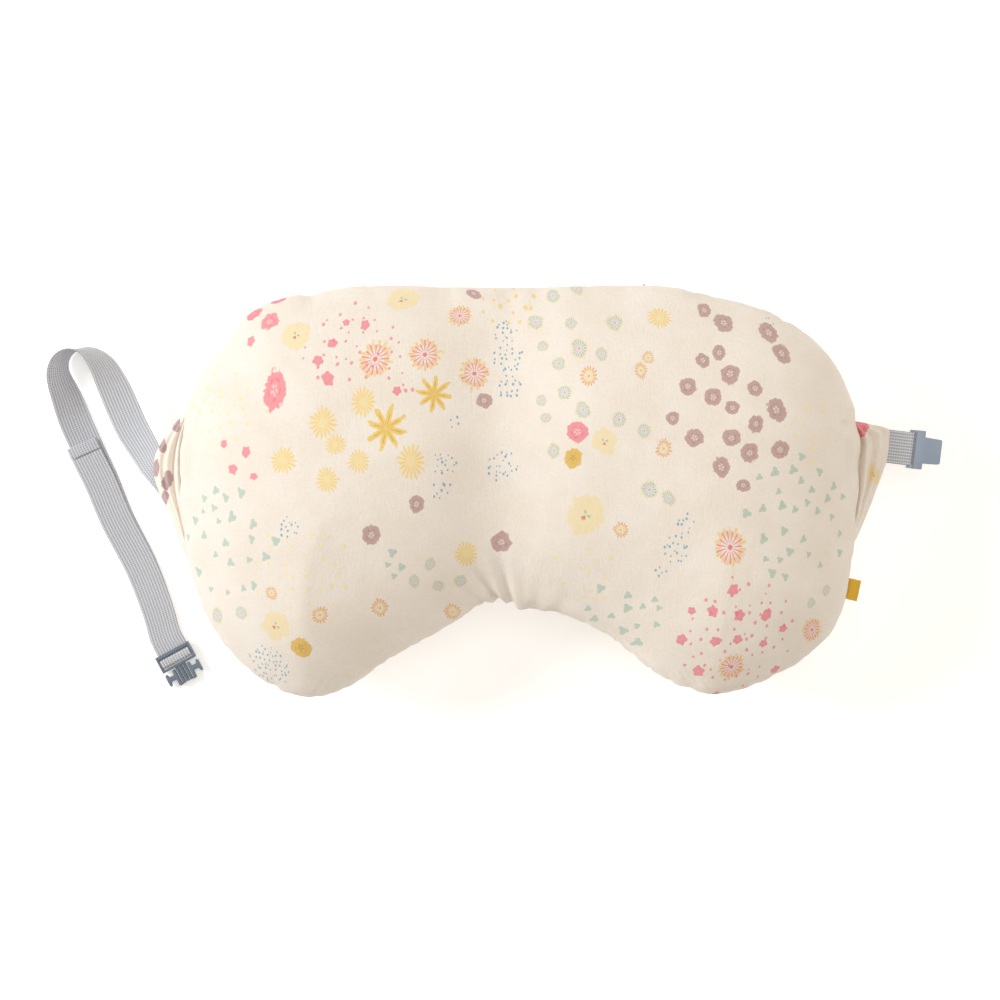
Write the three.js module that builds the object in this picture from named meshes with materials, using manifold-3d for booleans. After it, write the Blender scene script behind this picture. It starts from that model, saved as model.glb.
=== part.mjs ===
// A kidney-shaped feeding cushion worn round the waist, lying flat: a printed cotton cover over a
// fibre-filled liner, a fabric wing at each end, and a webbing belt with a side-release buckle.
// Millimetres, +Z up. The origin is on the flat underside, X runs along the cushion and the waist
// notch is on the -Y side.
import * as THREE from "three";
import { mergeVertices } from "three/addons/utils/BufferGeometryUtils.js";
import Module from "manifold-3d";

const wasm = await Module();
wasm.setup();

// Driving dimensions.
const SEAM_Z = 80; // height of the seam between the two cover panels
const CROWN = 85; // rise of the upper panel above the seam
const BELLY = 92; // drop of the lower panel below the seam before the floor flattens it
const BULGE = 165; // how far in from the outline the cushion reaches its full height
const VALLEY_DEPTH = 0.07; // share of the crown lost in the valley between the two lobes
const VALLEY_WIDTH = 60;
const FABRIC = 1.8; // quilted cotton of the cover
const LINER_INSET = 4.5;
const LINER = 1.2;
const FILL_INSET = 8.5;
const INSET_HEIGHT = 1.6; // inner layers lie this many times lower than they lie further in
const SEAM_GAP = 0.4;
const AROUND = 52; // points round each ring of the cushion
const WEB_WIDTH = 30;
const WEB_THICK = 1.4;
const LAYER_RISE = WEB_THICK + 0.4; // from one layer of webbing to the next
const BUCKLE_WIDTH = 34.6;
const GAP = 0.3; // running gap between neighbouring pieces

// The seam's outline, clockwise from the middle of the rear edge.
const OUTLINE = [
  [0, 182], [65, 182], [128, 182], [184, 173], [240, 155], [284, 118], [308, 62], [309, 0],
  [303, -62], [290, -118], [256, -154], [210, -177], [170, -183], [128, -165], [86, -132],
  [46, -113], [10, -107], [-11, -101], [-36, -108], [-72, -129], [-112, -151], [-152, -178],
  [-190, -186], [-230, -169], [-268, -129], [-290, -78], [-301, -18], [-301, 38], [-290, 90],
  [-266, 124], [-238, 160], [-190, 177], [-128, 182], [-65, 182],
];
const CENTRE = new THREE.Vector2(0, 20);
// How far out from the centre each ring lies, as a share of the way to the outline.
const RINGS = [0.22, 0.42, 0.6, 0.76, 0.88, 0.95, 0.985, 1];

const COLOURS = {
  cotton: 0xf1e7d8,
  liner: 0xf7f5ef,
  fill: 0xfafafa,
  webbing: 0xacaeb8,
  plastic: 0x8797ac,
  label: 0xd9a92f,
  zip: 0xe6dccb,
  metal: 0xb9bcc2,
};

const group = new THREE.Group();

function addMesh(name, geometry, colour, roughness = 0.9, parent = group) {
  const metalness = colour === COLOURS.metal ? 0.8 : 0;
  const material = new THREE.MeshStandardMaterial({ color: colour, roughness, metalness });
  const mesh = new THREE.Mesh(geometry, material);
  mesh.name = name;
  parent.add(mesh);
  return mesh;
}

// ---- closed bodies from grids of points ----

function signedVolume(points, faces) {
  return faces.reduce((sum, [a, b, c]) => {
    return sum + points[a].dot(new THREE.Vector3().crossVectors(points[b], points[c])) / 6;
  }, 0);
}

function closedBody(points, faces) {
  const outward = signedVolume(points, faces) > 0;
  const geometry = new THREE.BufferGeometry();
  geometry.setFromPoints(points);
  geometry.setIndex(faces.flatMap(([a, b, c]) => (outward ? [a, b, c] : [a, c, b])));
  geometry.computeVertexNormals();
  return geometry;
}

// Joins closed rings of equal length, from one end point to the other.
function loft(first, rings, last) {
  const count = rings[0].length;
  const points = [first, ...rings.flat(), last];
  const faces = [];
  for (let i = 0; i < count; i++) {
    const next = (i + 1) % count;
    faces.push([0, 1 + i, 1 + next]);
    for (let r = 0; r + 1 < rings.length; r++) {
      const [here, there] = [1 + r * count, 1 + (r + 1) * count];
      faces.push([here + i, there + i, there + next], [here + i, there + next, here + next]);
    }
    const end = 1 + (rings.length - 1) * count;
    faces.push([end + i, points.length - 1, end + next]);
  }
  return closedBody(points, faces);
}

// A sheet between two grids of points, rows along its length and columns across it.
function slab(upper, lower) {
  const [rows, columns] = [upper.length, upper[0].length];
  const points = [...upper.flat(), ...lower.flat()];
  const under = rows * columns;
  const at = (row, column) => row * columns + column;
  const faces = [];
  const quad = (a, b, c, d) => faces.push([a, b, c], [a, c, d]);
  for (let r = 0; r + 1 < rows; r++) {
    for (let c = 0; c + 1 < columns; c++) {
      quad(at(r, c), at(r + 1, c), at(r + 1, c + 1), at(r, c + 1));
      quad(under + at(r, c), under + at(r, c + 1), under + at(r + 1, c + 1), under + at(r + 1, c));
    }
    const last = columns - 1;
    quad(at(r, 0), under + at(r, 0), under + at(r + 1, 0), at(r + 1, 0));
    quad(at(r, last), at(r + 1, last), under + at(r + 1, last), under + at(r, last));
  }
  for (let c = 0; c + 1 < columns; c++) {
    const last = rows - 1;
    quad(at(0, c), at(0, c + 1), under + at(0, c + 1), under + at(0, c));
    quad(at(last, c), under + at(last, c), under + at(last, c + 1), at(last, c + 1));
  }
  return closedBody(points, faces);
}

// ---- boxes and cuts ----

function box([x0, x1], [y0, y1], [z0, z1]) {
  const geometry = new THREE.BoxGeometry(x1 - x0, y1 - y0, z1 - z0);
  return geometry.translate((x0 + x1) / 2, (y0 + y1) / 2, (z0 + z1) / 2);
}

// Cuts and joins are made on a fine grid, so that faces which should be flush are flush.
function solid(geometry) {
  const bare = geometry.clone();
  bare.deleteAttribute("normal");
  bare.deleteAttribute("uv");
  const merged = mergeVertices(bare, 1e-4);
  const triVerts = new Uint32Array(merged.index.array);
  const vertProperties = new Float32Array(merged.attributes.position.array);
  return new wasm.Manifold(new wasm.Mesh({ numProp: 3, vertProperties, triVerts }));
}

function geometryOf(manifold) {
  const { vertProperties, triVerts } = manifold.getMesh();
  const geometry = new THREE.BufferGeometry();
  geometry.setAttribute("position", new THREE.BufferAttribute(vertProperties, 3));
  geometry.setIndex([...triVerts]);
  geometry.computeVertexNormals();
  return geometry;
}

function cut(geometry, tools) {
  return geometryOf(tools.reduce((body, tool) => body.subtract(solid(tool)), solid(geometry)));
}

function join(pieces) {
  return pieces.map(solid).reduce((body, piece) => body.add(piece));
}

// ---- the cushion's surface ----

const outlineCurve = new THREE.CatmullRomCurve3(
  OUTLINE.map(([x, y]) => new THREE.Vector3(x, y, 0)),
  true,
  "centripetal",
);
// The outline's points, clockwise, each with the direction into the cushion.
const rim = Array.from({ length: AROUND }, (_, i) => {
  const along = outlineCurve.getTangent(i / AROUND);
  return { spot: outlineCurve.getPoint(i / AROUND), inward: new THREE.Vector2(along.y, -along.x) };
});
const fineRim = outlineCurve.getPoints(600).map((p) => new THREE.Vector2(p.x, p.y));

function distanceInside(point) {
  return Math.min(...fineRim.map((edge) => edge.distanceTo(point)));
}

// 0 at the seam and 1 on the crown, round like a filled bag.
function fullness(distance) {
  const share = Math.min(distance / BULGE, 1);
  return Math.sqrt(1 - (1 - share) ** 2);
}

function surfaceHeight(point, inset, up) {
  const full = fullness(Math.max(distanceInside(point) - inset, 0));
  const valley = 1 - VALLEY_DEPTH * Math.exp(-((point.x / VALLEY_WIDTH) ** 2));
  const lost = inset * INSET_HEIGHT;
  if (up) return SEAM_Z + SEAM_GAP / 2 + (CROWN - lost) * full * valley;
  return Math.max(SEAM_Z - SEAM_GAP / 2 - (BELLY - lost) * full, inset);
}

function surfacePoint({ spot, inward }, share, inset, up) {
  const edge = new THREE.Vector2(spot.x, spot.y).addScaledVector(inward, inset);
  const flat = CENTRE.clone().lerp(edge, share);
  const height = share === 1 ? SEAM_Z + (up ? 1 : -1) * (SEAM_GAP / 2) : surfaceHeight(flat, inset, up);
  return new THREE.Vector3(flat.x, flat.y, height);
}

function centrePoint(inset, up) {
  return new THREE.Vector3(CENTRE.x, CENTRE.y, surfaceHeight(CENTRE, inset, up));
}

function ringsOf(inset, up) {
  return RINGS.map((share) => rim.map((edge) => surfacePoint(edge, share, inset, up)));
}

function panel(inset, thickness, up) {
  const outer = ringsOf(inset, up);
  const inner = ringsOf(inset + thickness, up).reverse();
  return loft(centrePoint(inset, up), [...outer, ...inner], centrePoint(inset + thickness, up));
}

function filling(inset) {
  const upper = ringsOf(inset, true);
  const lower = ringsOf(inset, false).reverse();
  return loft(centrePoint(inset, true), [...upper, ...lower], centrePoint(inset, false));
}

// ---- zip along the rear of the lower panel ----

const ZIP_HALF = 136; // half the opening's length
const ZIP_Z = 71;
const ZIP_WALL_Y = 179.2; // where the tapes stand inside the rear wall
const TAPE = 0.8;
const TAPE_WIDTH = 6.2;
const COIL = 1.8;
const COIL_HALF = ZIP_HALF - 7;
const SLIDER_X = COIL_HALF - 12;

function zipPieces() {
  const tapeY = [ZIP_WALL_Y - TAPE / 2, ZIP_WALL_Y + TAPE / 2];
  const coilY = [tapeY[1] + GAP, tapeY[1] + GAP + COIL];
  const along = [-ZIP_HALF + 0.5, ZIP_HALF - 0.5];
  const tapeFrom = 0.4;
  for (const [side, sign] of [["upper", 1], ["lower", -1]]) {
    const tapeZ = [ZIP_Z + sign * tapeFrom, ZIP_Z + sign * (tapeFrom + TAPE_WIDTH)].sort();
    const coilZ = [ZIP_Z + sign * GAP / 2, ZIP_Z + sign * (GAP / 2 + COIL)].sort();
    addMesh(`zip_${side}_tape`, box(along, tapeY, tapeZ), COLOURS.zip);
    addMesh(`zip_${side}_coil`, box([-COIL_HALF, COIL_HALF], coilY, coilZ), COLOURS.zip, 0.5);
  }
  const stopLength = 3;
  for (const [name, sign] of [["zip_top_stop", 1], ["zip_bottom_stop", -1]]) {
    const from = sign * (COIL_HALF + GAP);
    const stopX = [from, from + sign * stopLength].sort((a, b) => a - b);
    addMesh(name, box(stopX, coilY, [ZIP_Z - 2.4, ZIP_Z + 2.4]), COLOURS.metal, 0.4);
  }
  return coilY[1];
}

// The slider's body, with a lug that leaves a slot for the pull tab's crossbar.
function slider(frontY) {
  const [half, tall, plate] = [4, 4.6, 1.6];
  const y0 = frontY + GAP;
  const body = box([SLIDER_X - half, SLIDER_X + half], [y0, y0 + plate], [ZIP_Z - tall, ZIP_Z + tall]);
  const lug = box([SLIDER_X - 1.2, SLIDER_X + 1.2], [y0 + plate - 0.2, y0 + 4.6], [ZIP_Z - 3, ZIP_Z + 3]);
  const eye = box([SLIDER_X - 2, SLIDER_X + 2], [y0 + plate + 0.2, y0 + 3.8], [ZIP_Z - 1.3, ZIP_Z + 1.3]);
  addMesh("zip_slider", geometryOf(join([body, lug]).subtract(solid(eye))), COLOURS.metal, 0.35);

  // The tab hangs from a crossbar that passes through the lug's eye.
  const barY = y0 + 2.8;
  const bar = box([SLIDER_X - 3.2, SLIDER_X + 3.2], [barY - 0.5, barY + 0.5], [ZIP_Z - 0.5, ZIP_Z + 0.5]);
  const limbs = [-1, 1].map((sign) => {
    const limbX = [SLIDER_X + sign * 1.8, SLIDER_X + sign * 3.2].sort((a, b) => a - b);
    return box(limbX, [barY - 0.5, barY + 0.5], [ZIP_Z - 6, ZIP_Z + 0.5]);
  });
  const blade = box([SLIDER_X - 3.2, SLIDER_X + 3.2], [barY - 0.5, barY + 0.5], [ZIP_Z - 26, ZIP_Z - 5.5]);
  addMesh("zip_pull_tab", geometryOf(join([bar, ...limbs, blade])), COLOURS.metal, 0.35);
}

// ---- fabric wings ----

// Each wing is two layers of cotton from the side seam to the webbing, which is sewn between them.
const WING_STEPS = 5;
const WING_LAYER = 1.2;
const WING_OFF = 0.5; // clear of the cushion's side
const WING_PARTING = 2.2; // from the middle of a wing to the inside of each layer

const LEFT_WING = {
  side: -1,
  from: 66,
  to: -62,
  edge: [[-302, 64], [-312, 55], [-322, 41], [-328, 29], [-328, 15], [-322, 0], [-312, -18],
    [-305, -42], [-302, -60]],
  tipZ: 60,
  reach: 29,
};
const RIGHT_WING = {
  side: 1,
  from: 60,
  to: -62,
  edge: [[311, 59], [324, 57.5], [337, 55], [335, 40], [333, 26], [328, 8], [321, -16],
    [315, -42], [309, -60]],
  tipZ: 81,
  reach: 27,
};

// The point of the cushion's outline at a given Y, on its left or right side.
function sidePoint(side, y) {
  const onSide = fineRim.filter((p) => Math.sign(p.x) === side && Math.abs(p.x) > 250);
  return onSide.reduce((best, p) => (Math.abs(p.y - y) < Math.abs(best.y - y) ? p : best));
}

function wingLayer(wing, up) {
  const edge = wing.edge.map(([x, y]) => new THREE.Vector2(x, y));
  const faces = [0, WING_LAYER].map((depth) => {
    return edge.map((tip, i) => {
      const y = THREE.MathUtils.lerp(wing.from, wing.to, i / (edge.length - 1));
      const root = sidePoint(wing.side, y).clone();
      root.x += wing.side * WING_OFF;
      return Array.from({ length: WING_STEPS + 1 }, (_, step) => {
        const point = root.clone().lerp(tip, step / WING_STEPS);
        const share = Math.min(point.distanceTo(root) / wing.reach, 1);
        const middle = THREE.MathUtils.lerp(SEAM_Z, wing.tipZ, share);
        const rise = (up ? 1 : -1) * (WING_PARTING + depth);
        return new THREE.Vector3(point.x, point.y, middle + rise);
      });
    });
  });
  return slab(faces[0], faces[1]);
}

// ---- webbing ----

// A ribbon through stations, each with its centre, the direction across it and its face.
function ribbon(stations) {
  const face = (offset) => stations.map(({ centre, across, normal }) => {
    return [-1, 1].map((sign) => centre.clone()
      .addScaledVector(across, sign * WEB_WIDTH / 2)
      .addScaledVector(normal, offset));
  });
  return slab(face(-WEB_THICK / 2), face(WEB_THICK / 2));
}

// Stations along a curve in the plane of a buckle's length and height.
function loopStations(route, steps) {
  const curve = new THREE.CatmullRomCurve3(route.map(([u, w]) => new THREE.Vector3(u, 0, w)));
  const across = new THREE.Vector3(0, 1, 0);
  return Array.from({ length: steps + 1 }, (_, i) => {
    const along = curve.getTangentAt(i / steps);
    return {
      centre: curve.getPointAt(i / steps),
      across: across.clone(),
      normal: new THREE.Vector3().crossVectors(along, across),
    };
  });
}

// ---- right side: short webbing and the buckle's socket ----

const SOCKET_PLACE = { x: 359.8, y: 36.6, z: 81, turn: THREE.MathUtils.degToRad(-7) };
const BAR_U = -3.7; // the socket's webbing bar, behind its flange
const BAR_RADIUS = 1.3;
const SOCKET_THICK = 9;
const FLANGE = 7.9;
const SOCKET_LENGTH = 23.4;

function placed(place) {
  const holder = new THREE.Group();
  holder.position.set(place.x, place.y, place.z);
  holder.rotation.z = place.turn;
  group.add(holder);
  return holder;
}

function shortStrap(holder) {
  const start = -36;
  const layer = WEB_THICK / 2 + 0.15;
  const loop = BAR_RADIUS + WEB_THICK / 2 + 0.35;
  const top = [[start, layer], [-26, layer], [-16, layer], [-9, 1.2], [BAR_U - 1.2, loop], [BAR_U, loop]];
  const nose = [[BAR_U + loop * 0.87, loop * 0.5], [BAR_U + loop * 0.87, -loop * 0.5]];
  const below = top.map(([u, w]) => [u, -w]).reverse();
  addMesh("short_strap", ribbon(loopStations([...top, ...nose, ...below], 34)), COLOURS.webbing, 0.9, holder);
}

function socket(holder) {
  const half = BUCKLE_WIDTH / 2;
  const thick = [-SOCKET_THICK / 2, SOCKET_THICK / 2];
  const inner = WEB_WIDTH / 2 + 0.5;
  const [neckBase, neckMouth] = [11.8, 11.1];
  const outline = new THREE.Shape([
    [0, -half], [FLANGE, -half], [FLANGE, -neckBase], [SOCKET_LENGTH - 1, -neckMouth],
    [SOCKET_LENGTH, -neckMouth + 1], [SOCKET_LENGTH, neckMouth - 1], [SOCKET_LENGTH - 1, neckMouth],
    [FLANGE, neckBase], [FLANGE, half], [0, half],
  ].map(([u, v]) => new THREE.Vector2(u, v)));
  const body = new THREE.ExtrudeGeometry(outline, { depth: SOCKET_THICK, bevelEnabled: false });
  body.translate(0, 0, thick[0]);
  const brackets = [-1, 1].map((sign) => {
    const bracketV = [sign * inner, sign * half].sort((a, b) => a - b);
    return box([-5.4, 0.5], bracketV, [-2.6, 2.6]);
  });
  const bar = new THREE.CylinderGeometry(BAR_RADIUS, BAR_RADIUS, 2 * inner + 1, 12);
  bar.translate(BAR_U, 0, 0);
  const mouth = box([5, SOCKET_LENGTH + 1], [-9.7, 9.7], [-3, 3]);
  const sides = [-1, 1].map((sign) => {
    const slotV = [sign * 9, sign * 13].sort((a, b) => a - b);
    return box([11, SOCKET_LENGTH + 1], slotV, [-2.2, 2.2]);
  });
  const pockets = [-1, 1].map((sign) => {
    const pocketV = [sign * 13.2, sign * 16.2].sort((a, b) => a - b);
    return box([4.5, FLANGE + 1], pocketV, [-2.8, 2.8]);
  });
  const joined = join([body, ...brackets, bar]);
  const hollow = [mouth, ...sides, ...pockets].reduce((rest, tool) => rest.subtract(solid(tool)), joined);
  addMesh("buckle_socket", geometryOf(hollow), COLOURS.plastic, 0.45, holder);
}

// ---- left side: the long webbing and the buckle's plug ----

const PLUG_PLACE = { x: -322.8, y: -150, z: 0, turn: THREE.MathUtils.degToRad(-61.6) };

// Centre of the webbing from inside the left wing to just before the buckle, and its roll in
// degrees: it leaves the wing face up, stands on its edge round the bend and lies down turned over.
const LONG_ROUTE = [
  [-329.4, 21.5, 59.6, -26], [-339, 36, 50, -16], [-353.6, 57.4, 38.5, 0], [-365, 79, 29.5, 12],
  [-375, 99, 22.5, 27], [-386, 118, 18.2, 47], [-400, 130.5, 16.2, 70],
  [-414, 131.5, 15.9, 90], [-424, 124, 15.6, 106], [-427.5, 112, 14.8, 120], [-425.5, 101, 13, 133],
  [-420.5, 87, 9.9, 147], [-412.5, 63, 5.2, 166], [-401, 36, 2, 177], [-388, 8, 1.1, 180],
  [-373.5, -28, 1, 180], [-352, -71, 1, 180], [-337.5, -110, 1, 180],
];
// The rest of its way in the plug's own length and height, round the plug's middle bar.
const PLUG_ROUTE = [
  [-16, 1], [-6, 1], [4, 1], [10.6, 1.1], [12, 2.4], [12.3, 4.4], [12.3, 6], [11.4, 7.8], [8.5, 8.1],
  [5.5, 7.8], [4.6, 6.2], [4.6, 4.6],
];
const MITRE = 38; // the webbing's slanting start, along the end of the wing
const TAIL_START_U = 4;
const TAIL_LENGTH = 217;
const HEM_LENGTH = 11;

const up = new THREE.Vector3(0, 0, 1);

function turned(across, along, roll) {
  const left = new THREE.Vector3().crossVectors(up, along).normalize();
  const lift = new THREE.Vector3().crossVectors(along, left).normalize();
  across.copy(left).multiplyScalar(Math.cos(roll)).addScaledVector(lift, Math.sin(roll));
  return lift.multiplyScalar(Math.cos(roll)).addScaledVector(left, -Math.sin(roll));
}

function plugToWorld(point) {
  const { x, y, z, turn } = PLUG_PLACE;
  return point.applyAxisAngle(up, turn).add(new THREE.Vector3(x, y, z));
}

const floorPoints = LONG_ROUTE.map(([x, y, z]) => new THREE.Vector3(x, y, z));
const lastFlat = plugToWorld(new THREE.Vector3(PLUG_ROUTE[0][0], 0, PLUG_ROUTE[0][1]));
const longCurve = new THREE.CatmullRomCurve3([...floorPoints, lastFlat], false, "centripetal");

// The station at a share of the long curve, lifted off it by a number of layers.
function longStation(share, lift = 0, drift = 0) {
  const spot = longCurve.getUtoTmapping(share) * (longCurve.points.length - 1);
  const whole = Math.min(Math.floor(spot), longCurve.points.length - 2);
  const rolls = [...LONG_ROUTE.map((row) => row[3]), 180];
  const roll = THREE.MathUtils.degToRad(THREE.MathUtils.lerp(rolls[whole], rolls[whole + 1], spot - whole));
  const across = new THREE.Vector3();
  const normal = turned(across, longCurve.getTangentAt(share), roll);
  const centre = longCurve.getPointAt(share);
  centre.addScaledVector(normal, -lift * LAYER_RISE).addScaledVector(across, drift);
  return { centre, across, normal };
}

function longStrap() {
  const steps = 44;
  const flat = Array.from({ length: steps }, (_, i) => longStation(i / steps));
  flat[0].across.set(0, -MITRE / WEB_WIDTH, 0);
  const loop = loopStations(PLUG_ROUTE, 26).map(({ centre, across, normal }) => ({
    centre: plugToWorld(centre),
    across: across.applyAxisAngle(up, PLUG_PLACE.turn).negate(),
    normal: normal.applyAxisAngle(up, PLUG_PLACE.turn).negate(),
  }));
  addMesh("long_strap", ribbon([...flat, ...loop]), COLOURS.webbing);
}

// The spare end comes back over the strap from under the plug's rear bar, and ends in a hem.
function spareEnd() {
  const length = longCurve.getLength();
  const steps = 22;
  const drift = (part) => THREE.MathUtils.lerp(0.8, -3, part);
  const nearPlug = [TAIL_START_U, -6].map((u) => ({
    centre: plugToWorld(new THREE.Vector3(u, 0, 1 + LAYER_RISE)),
    across: new THREE.Vector3(0, -1, 0).applyAxisAngle(up, PLUG_PLACE.turn),
    normal: new THREE.Vector3(0, 0, -1),
  }));
  const back = TAIL_LENGTH - TAIL_START_U + PLUG_ROUTE[0][0];
  const shareAt = (distance) => 1 - distance / length;
  const flat = Array.from({ length: steps + 1 }, (_, i) => {
    const distance = (back - HEM_LENGTH) * (i / steps);
    return longStation(shareAt(distance), 1, drift(i / steps));
  });
  addMesh("strap_tail", ribbon([...nearPlug, ...flat]), COLOURS.webbing);
  const hem = [0, 0.5, 1].map((part) => {
    return longStation(shareAt(back - HEM_LENGTH + GAP + part * HEM_LENGTH), 1.15, drift(1));
  });
  addMesh("strap_tail_hem", ribbon(hem), COLOURS.webbing);
}

// Frame with a ladder lock, a middle tongue and an inner limb each side of it.
function plugFrame(holder) {
  const half = BUCKLE_WIDTH / 2;
  const inner = WEB_WIDTH / 2 + 0.4;
  const rails = [-1, 1].map((sign) => {
    const railV = [sign * inner, sign * half].sort((a, b) => a - b);
    return box([0, 16.3], railV, [2.6, 8]);
  });
  const across = [-inner - 0.5, inner + 0.5];
  const rearBar = box([0, 3.2], across, [4, 7.4]);
  const middleBar = box([5.9, 11], across, [4.4, 6.8]);
  const frontBar = box([13.7, 16.3], across, [1.8, 7.6]);
  const tongue = box([16, 33.2], [-1.4, 1.4], [2.6, 7]);
  const limbs = [-1, 1].map((sign) => {
    const limbV = [sign * 2.6, sign * 5].sort((a, b) => a - b);
    return box([16, 33.4], limbV, [2.6, 7]);
  });
  const frame = join([...rails, rearBar, middleBar, frontBar, tongue, ...limbs]);
  addMesh("buckle_plug_frame", geometryOf(frame), COLOURS.plastic, 0.45, holder);
}

// A spring arm: it turns about the limb's tip, and its pad is squeezed towards the middle.
function plugArm(holder, name, sign) {
  const outline = new THREE.Shape([
    [17.6, 6.4], [31.8, 6.4], [31.8, 5.3], [33.4, 5.3], [34, 6.2], [34, 8], [33, 9], [27, 9],
    [27, 14.4], [28.6, 15],
    [30.8, 15.7], [30.8, 16.8], [27.5, 17.3], [19.8, 17.3], [18.8, 16.3], [18.8, 15.2], [22, 14.4],
    [22, 9], [17.6, 9],
  ].map(([u, v]) => new THREE.Vector2(u, sign * v)));
  const arm = new THREE.ExtrudeGeometry(outline, { depth: 5, bevelEnabled: false });
  addMesh(name, arm.translate(0, 0, 2.2), COLOURS.plastic, 0.45, holder);
}

// ---- assembly ----

const LABEL = { y: [-98, -79], z: [SEAM_Z - 0.6, SEAM_Z + 0.6], reach: 9 };

function sideLabel() {
  const root = sidePoint(1, LABEL.y[1]).x + WING_OFF;
  addMesh("side_label", box([root, root + LABEL.reach], LABEL.y, LABEL.z), COLOURS.label);
}

const zipWindow = box([-ZIP_HALF, ZIP_HALF], [160, 190], [ZIP_Z - 7, ZIP_Z + 7]);
addMesh("cover_upper_panel", panel(0, FABRIC, true), COLOURS.cotton);
addMesh("cover_lower_panel", cut(panel(0, FABRIC, false), [zipWindow]), COLOURS.cotton);
addMesh("liner_upper_panel", panel(LINER_INSET, LINER, true), COLOURS.liner);
addMesh("liner_lower_panel", panel(LINER_INSET, LINER, false), COLOURS.liner);
addMesh("fibre_filling", filling(FILL_INSET), COLOURS.fill);
for (const [side, wing] of [["left", LEFT_WING], ["right", RIGHT_WING]]) {
  addMesh(`${side}_wing_upper`, wingLayer(wing, true), COLOURS.cotton);
  addMesh(`${side}_wing_lower`, wingLayer(wing, false), COLOURS.cotton);
}
sideLabel();
slider(zipPieces());
const socketHolder = placed(SOCKET_PLACE);
shortStrap(socketHolder);
socket(socketHolder);
const plugHolder = placed(PLUG_PLACE);
longStrap();
spareEnd();
plugFrame(plugHolder);
plugArm(plugHolder, "buckle_plug_left_arm", -1);
plugArm(plugHolder, "buckle_plug_right_arm", 1);

export default group;
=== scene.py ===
"""A kidney-shaped feeding cushion lying flat, with its waist belt spread out beside it.

The cover is two panels of printed cotton sewn at a puckered seam, with a zip in the rear wall, a
gathered wing at each end and ribbed webbing that ends in a side-release buckle.
"""

import math
import random

import bmesh
import bpy
import numpy as np
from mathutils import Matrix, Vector


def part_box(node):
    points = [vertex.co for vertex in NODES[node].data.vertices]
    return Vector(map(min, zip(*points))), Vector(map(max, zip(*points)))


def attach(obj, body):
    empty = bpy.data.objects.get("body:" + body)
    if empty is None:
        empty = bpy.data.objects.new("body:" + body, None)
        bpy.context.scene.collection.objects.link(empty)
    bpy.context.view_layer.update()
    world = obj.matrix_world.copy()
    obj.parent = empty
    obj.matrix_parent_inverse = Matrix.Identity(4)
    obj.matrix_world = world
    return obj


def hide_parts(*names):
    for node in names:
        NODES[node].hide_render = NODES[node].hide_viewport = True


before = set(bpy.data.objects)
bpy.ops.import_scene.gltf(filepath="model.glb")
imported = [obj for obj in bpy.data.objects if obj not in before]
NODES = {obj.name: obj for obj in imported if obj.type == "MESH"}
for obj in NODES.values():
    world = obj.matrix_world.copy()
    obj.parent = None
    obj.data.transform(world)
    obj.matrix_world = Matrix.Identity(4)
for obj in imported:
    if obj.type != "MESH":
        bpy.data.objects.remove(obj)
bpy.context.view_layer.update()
MM = 0.001
COTTON_CODE = "f7efe6"
INK_STRENGTH = 0.8
COTTON_SHADE = "f1e5d7"


# ---------------------------------------------------------------- camera and studio

CAMERA_HEIGHT = 1.75
FILM_WIDTH = 36
FLOOR_VIEW = 0.945  # width of the floor in view
CAMERA_OVER = (-0.0135, -0.009)


def add_camera():
    data = bpy.data.cameras.new("studio_camera")
    data.sensor_width = FILM_WIDTH
    data.lens = data.sensor_width * CAMERA_HEIGHT / FLOOR_VIEW
    camera = bpy.data.objects.new("studio_camera", data)
    camera.location = (*CAMERA_OVER, CAMERA_HEIGHT)
    bpy.context.scene.collection.objects.link(camera)
    bpy.context.scene.camera = camera


def add_light(name, place, target, size, power, colour):
    data = bpy.data.lights.new(name, "AREA")
    data.shape = "DISK"
    data.size = size
    data.energy = power
    data.color = colour
    light = bpy.data.objects.new(name, data)
    light.location = place
    light.rotation_euler = (Vector(target) - Vector(place)).to_track_quat("-Z", "Y").to_euler()
    bpy.context.scene.collection.objects.link(light)


def add_studio():
    add_light("window_softbox", (-3.0, 0.75, 1.9), (0, 0, 0.05), 1.4, 84, (0.93, 0.97, 1.0))
    add_light("overhead_fill", (0.2, 0.2, 2.6), (0, 0, 0), 2.0, 20, (1.0, 1.0, 1.0))
    add_light("right_fill", (2.5, 0.9, 1.7), (0, 0, 0.05), 1.6, 19, (1.0, 0.96, 0.9))
    world = bpy.data.worlds.new("studio_air")
    world.use_nodes = True
    world.node_tree.nodes["Background"].inputs["Color"].default_value = (1, 0.9, 0.76, 1)
    world.node_tree.nodes["Background"].inputs["Strength"].default_value = 0.37
    bpy.context.scene.world = world
    bpy.context.scene.view_settings.view_transform = "Standard"
    bpy.ops.mesh.primitive_plane_add(size=8, location=(0, 0, 0))
    floor = bpy.context.object
    floor.name = "studio_floor"
    floor.data.materials.append(floor_material())


# ---------------------------------------------------------------- node graphs

def tint(code):
    """A linear colour from a screen colour written as six hex digits."""
    shares = [int(code[i:i + 2], 16) / 255 for i in (0, 2, 4)]
    linear = [s / 12.92 if s <= 0.04045 else ((s + 0.055) / 1.055) ** 2.4 for s in shares]
    return (*linear, 1)


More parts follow.
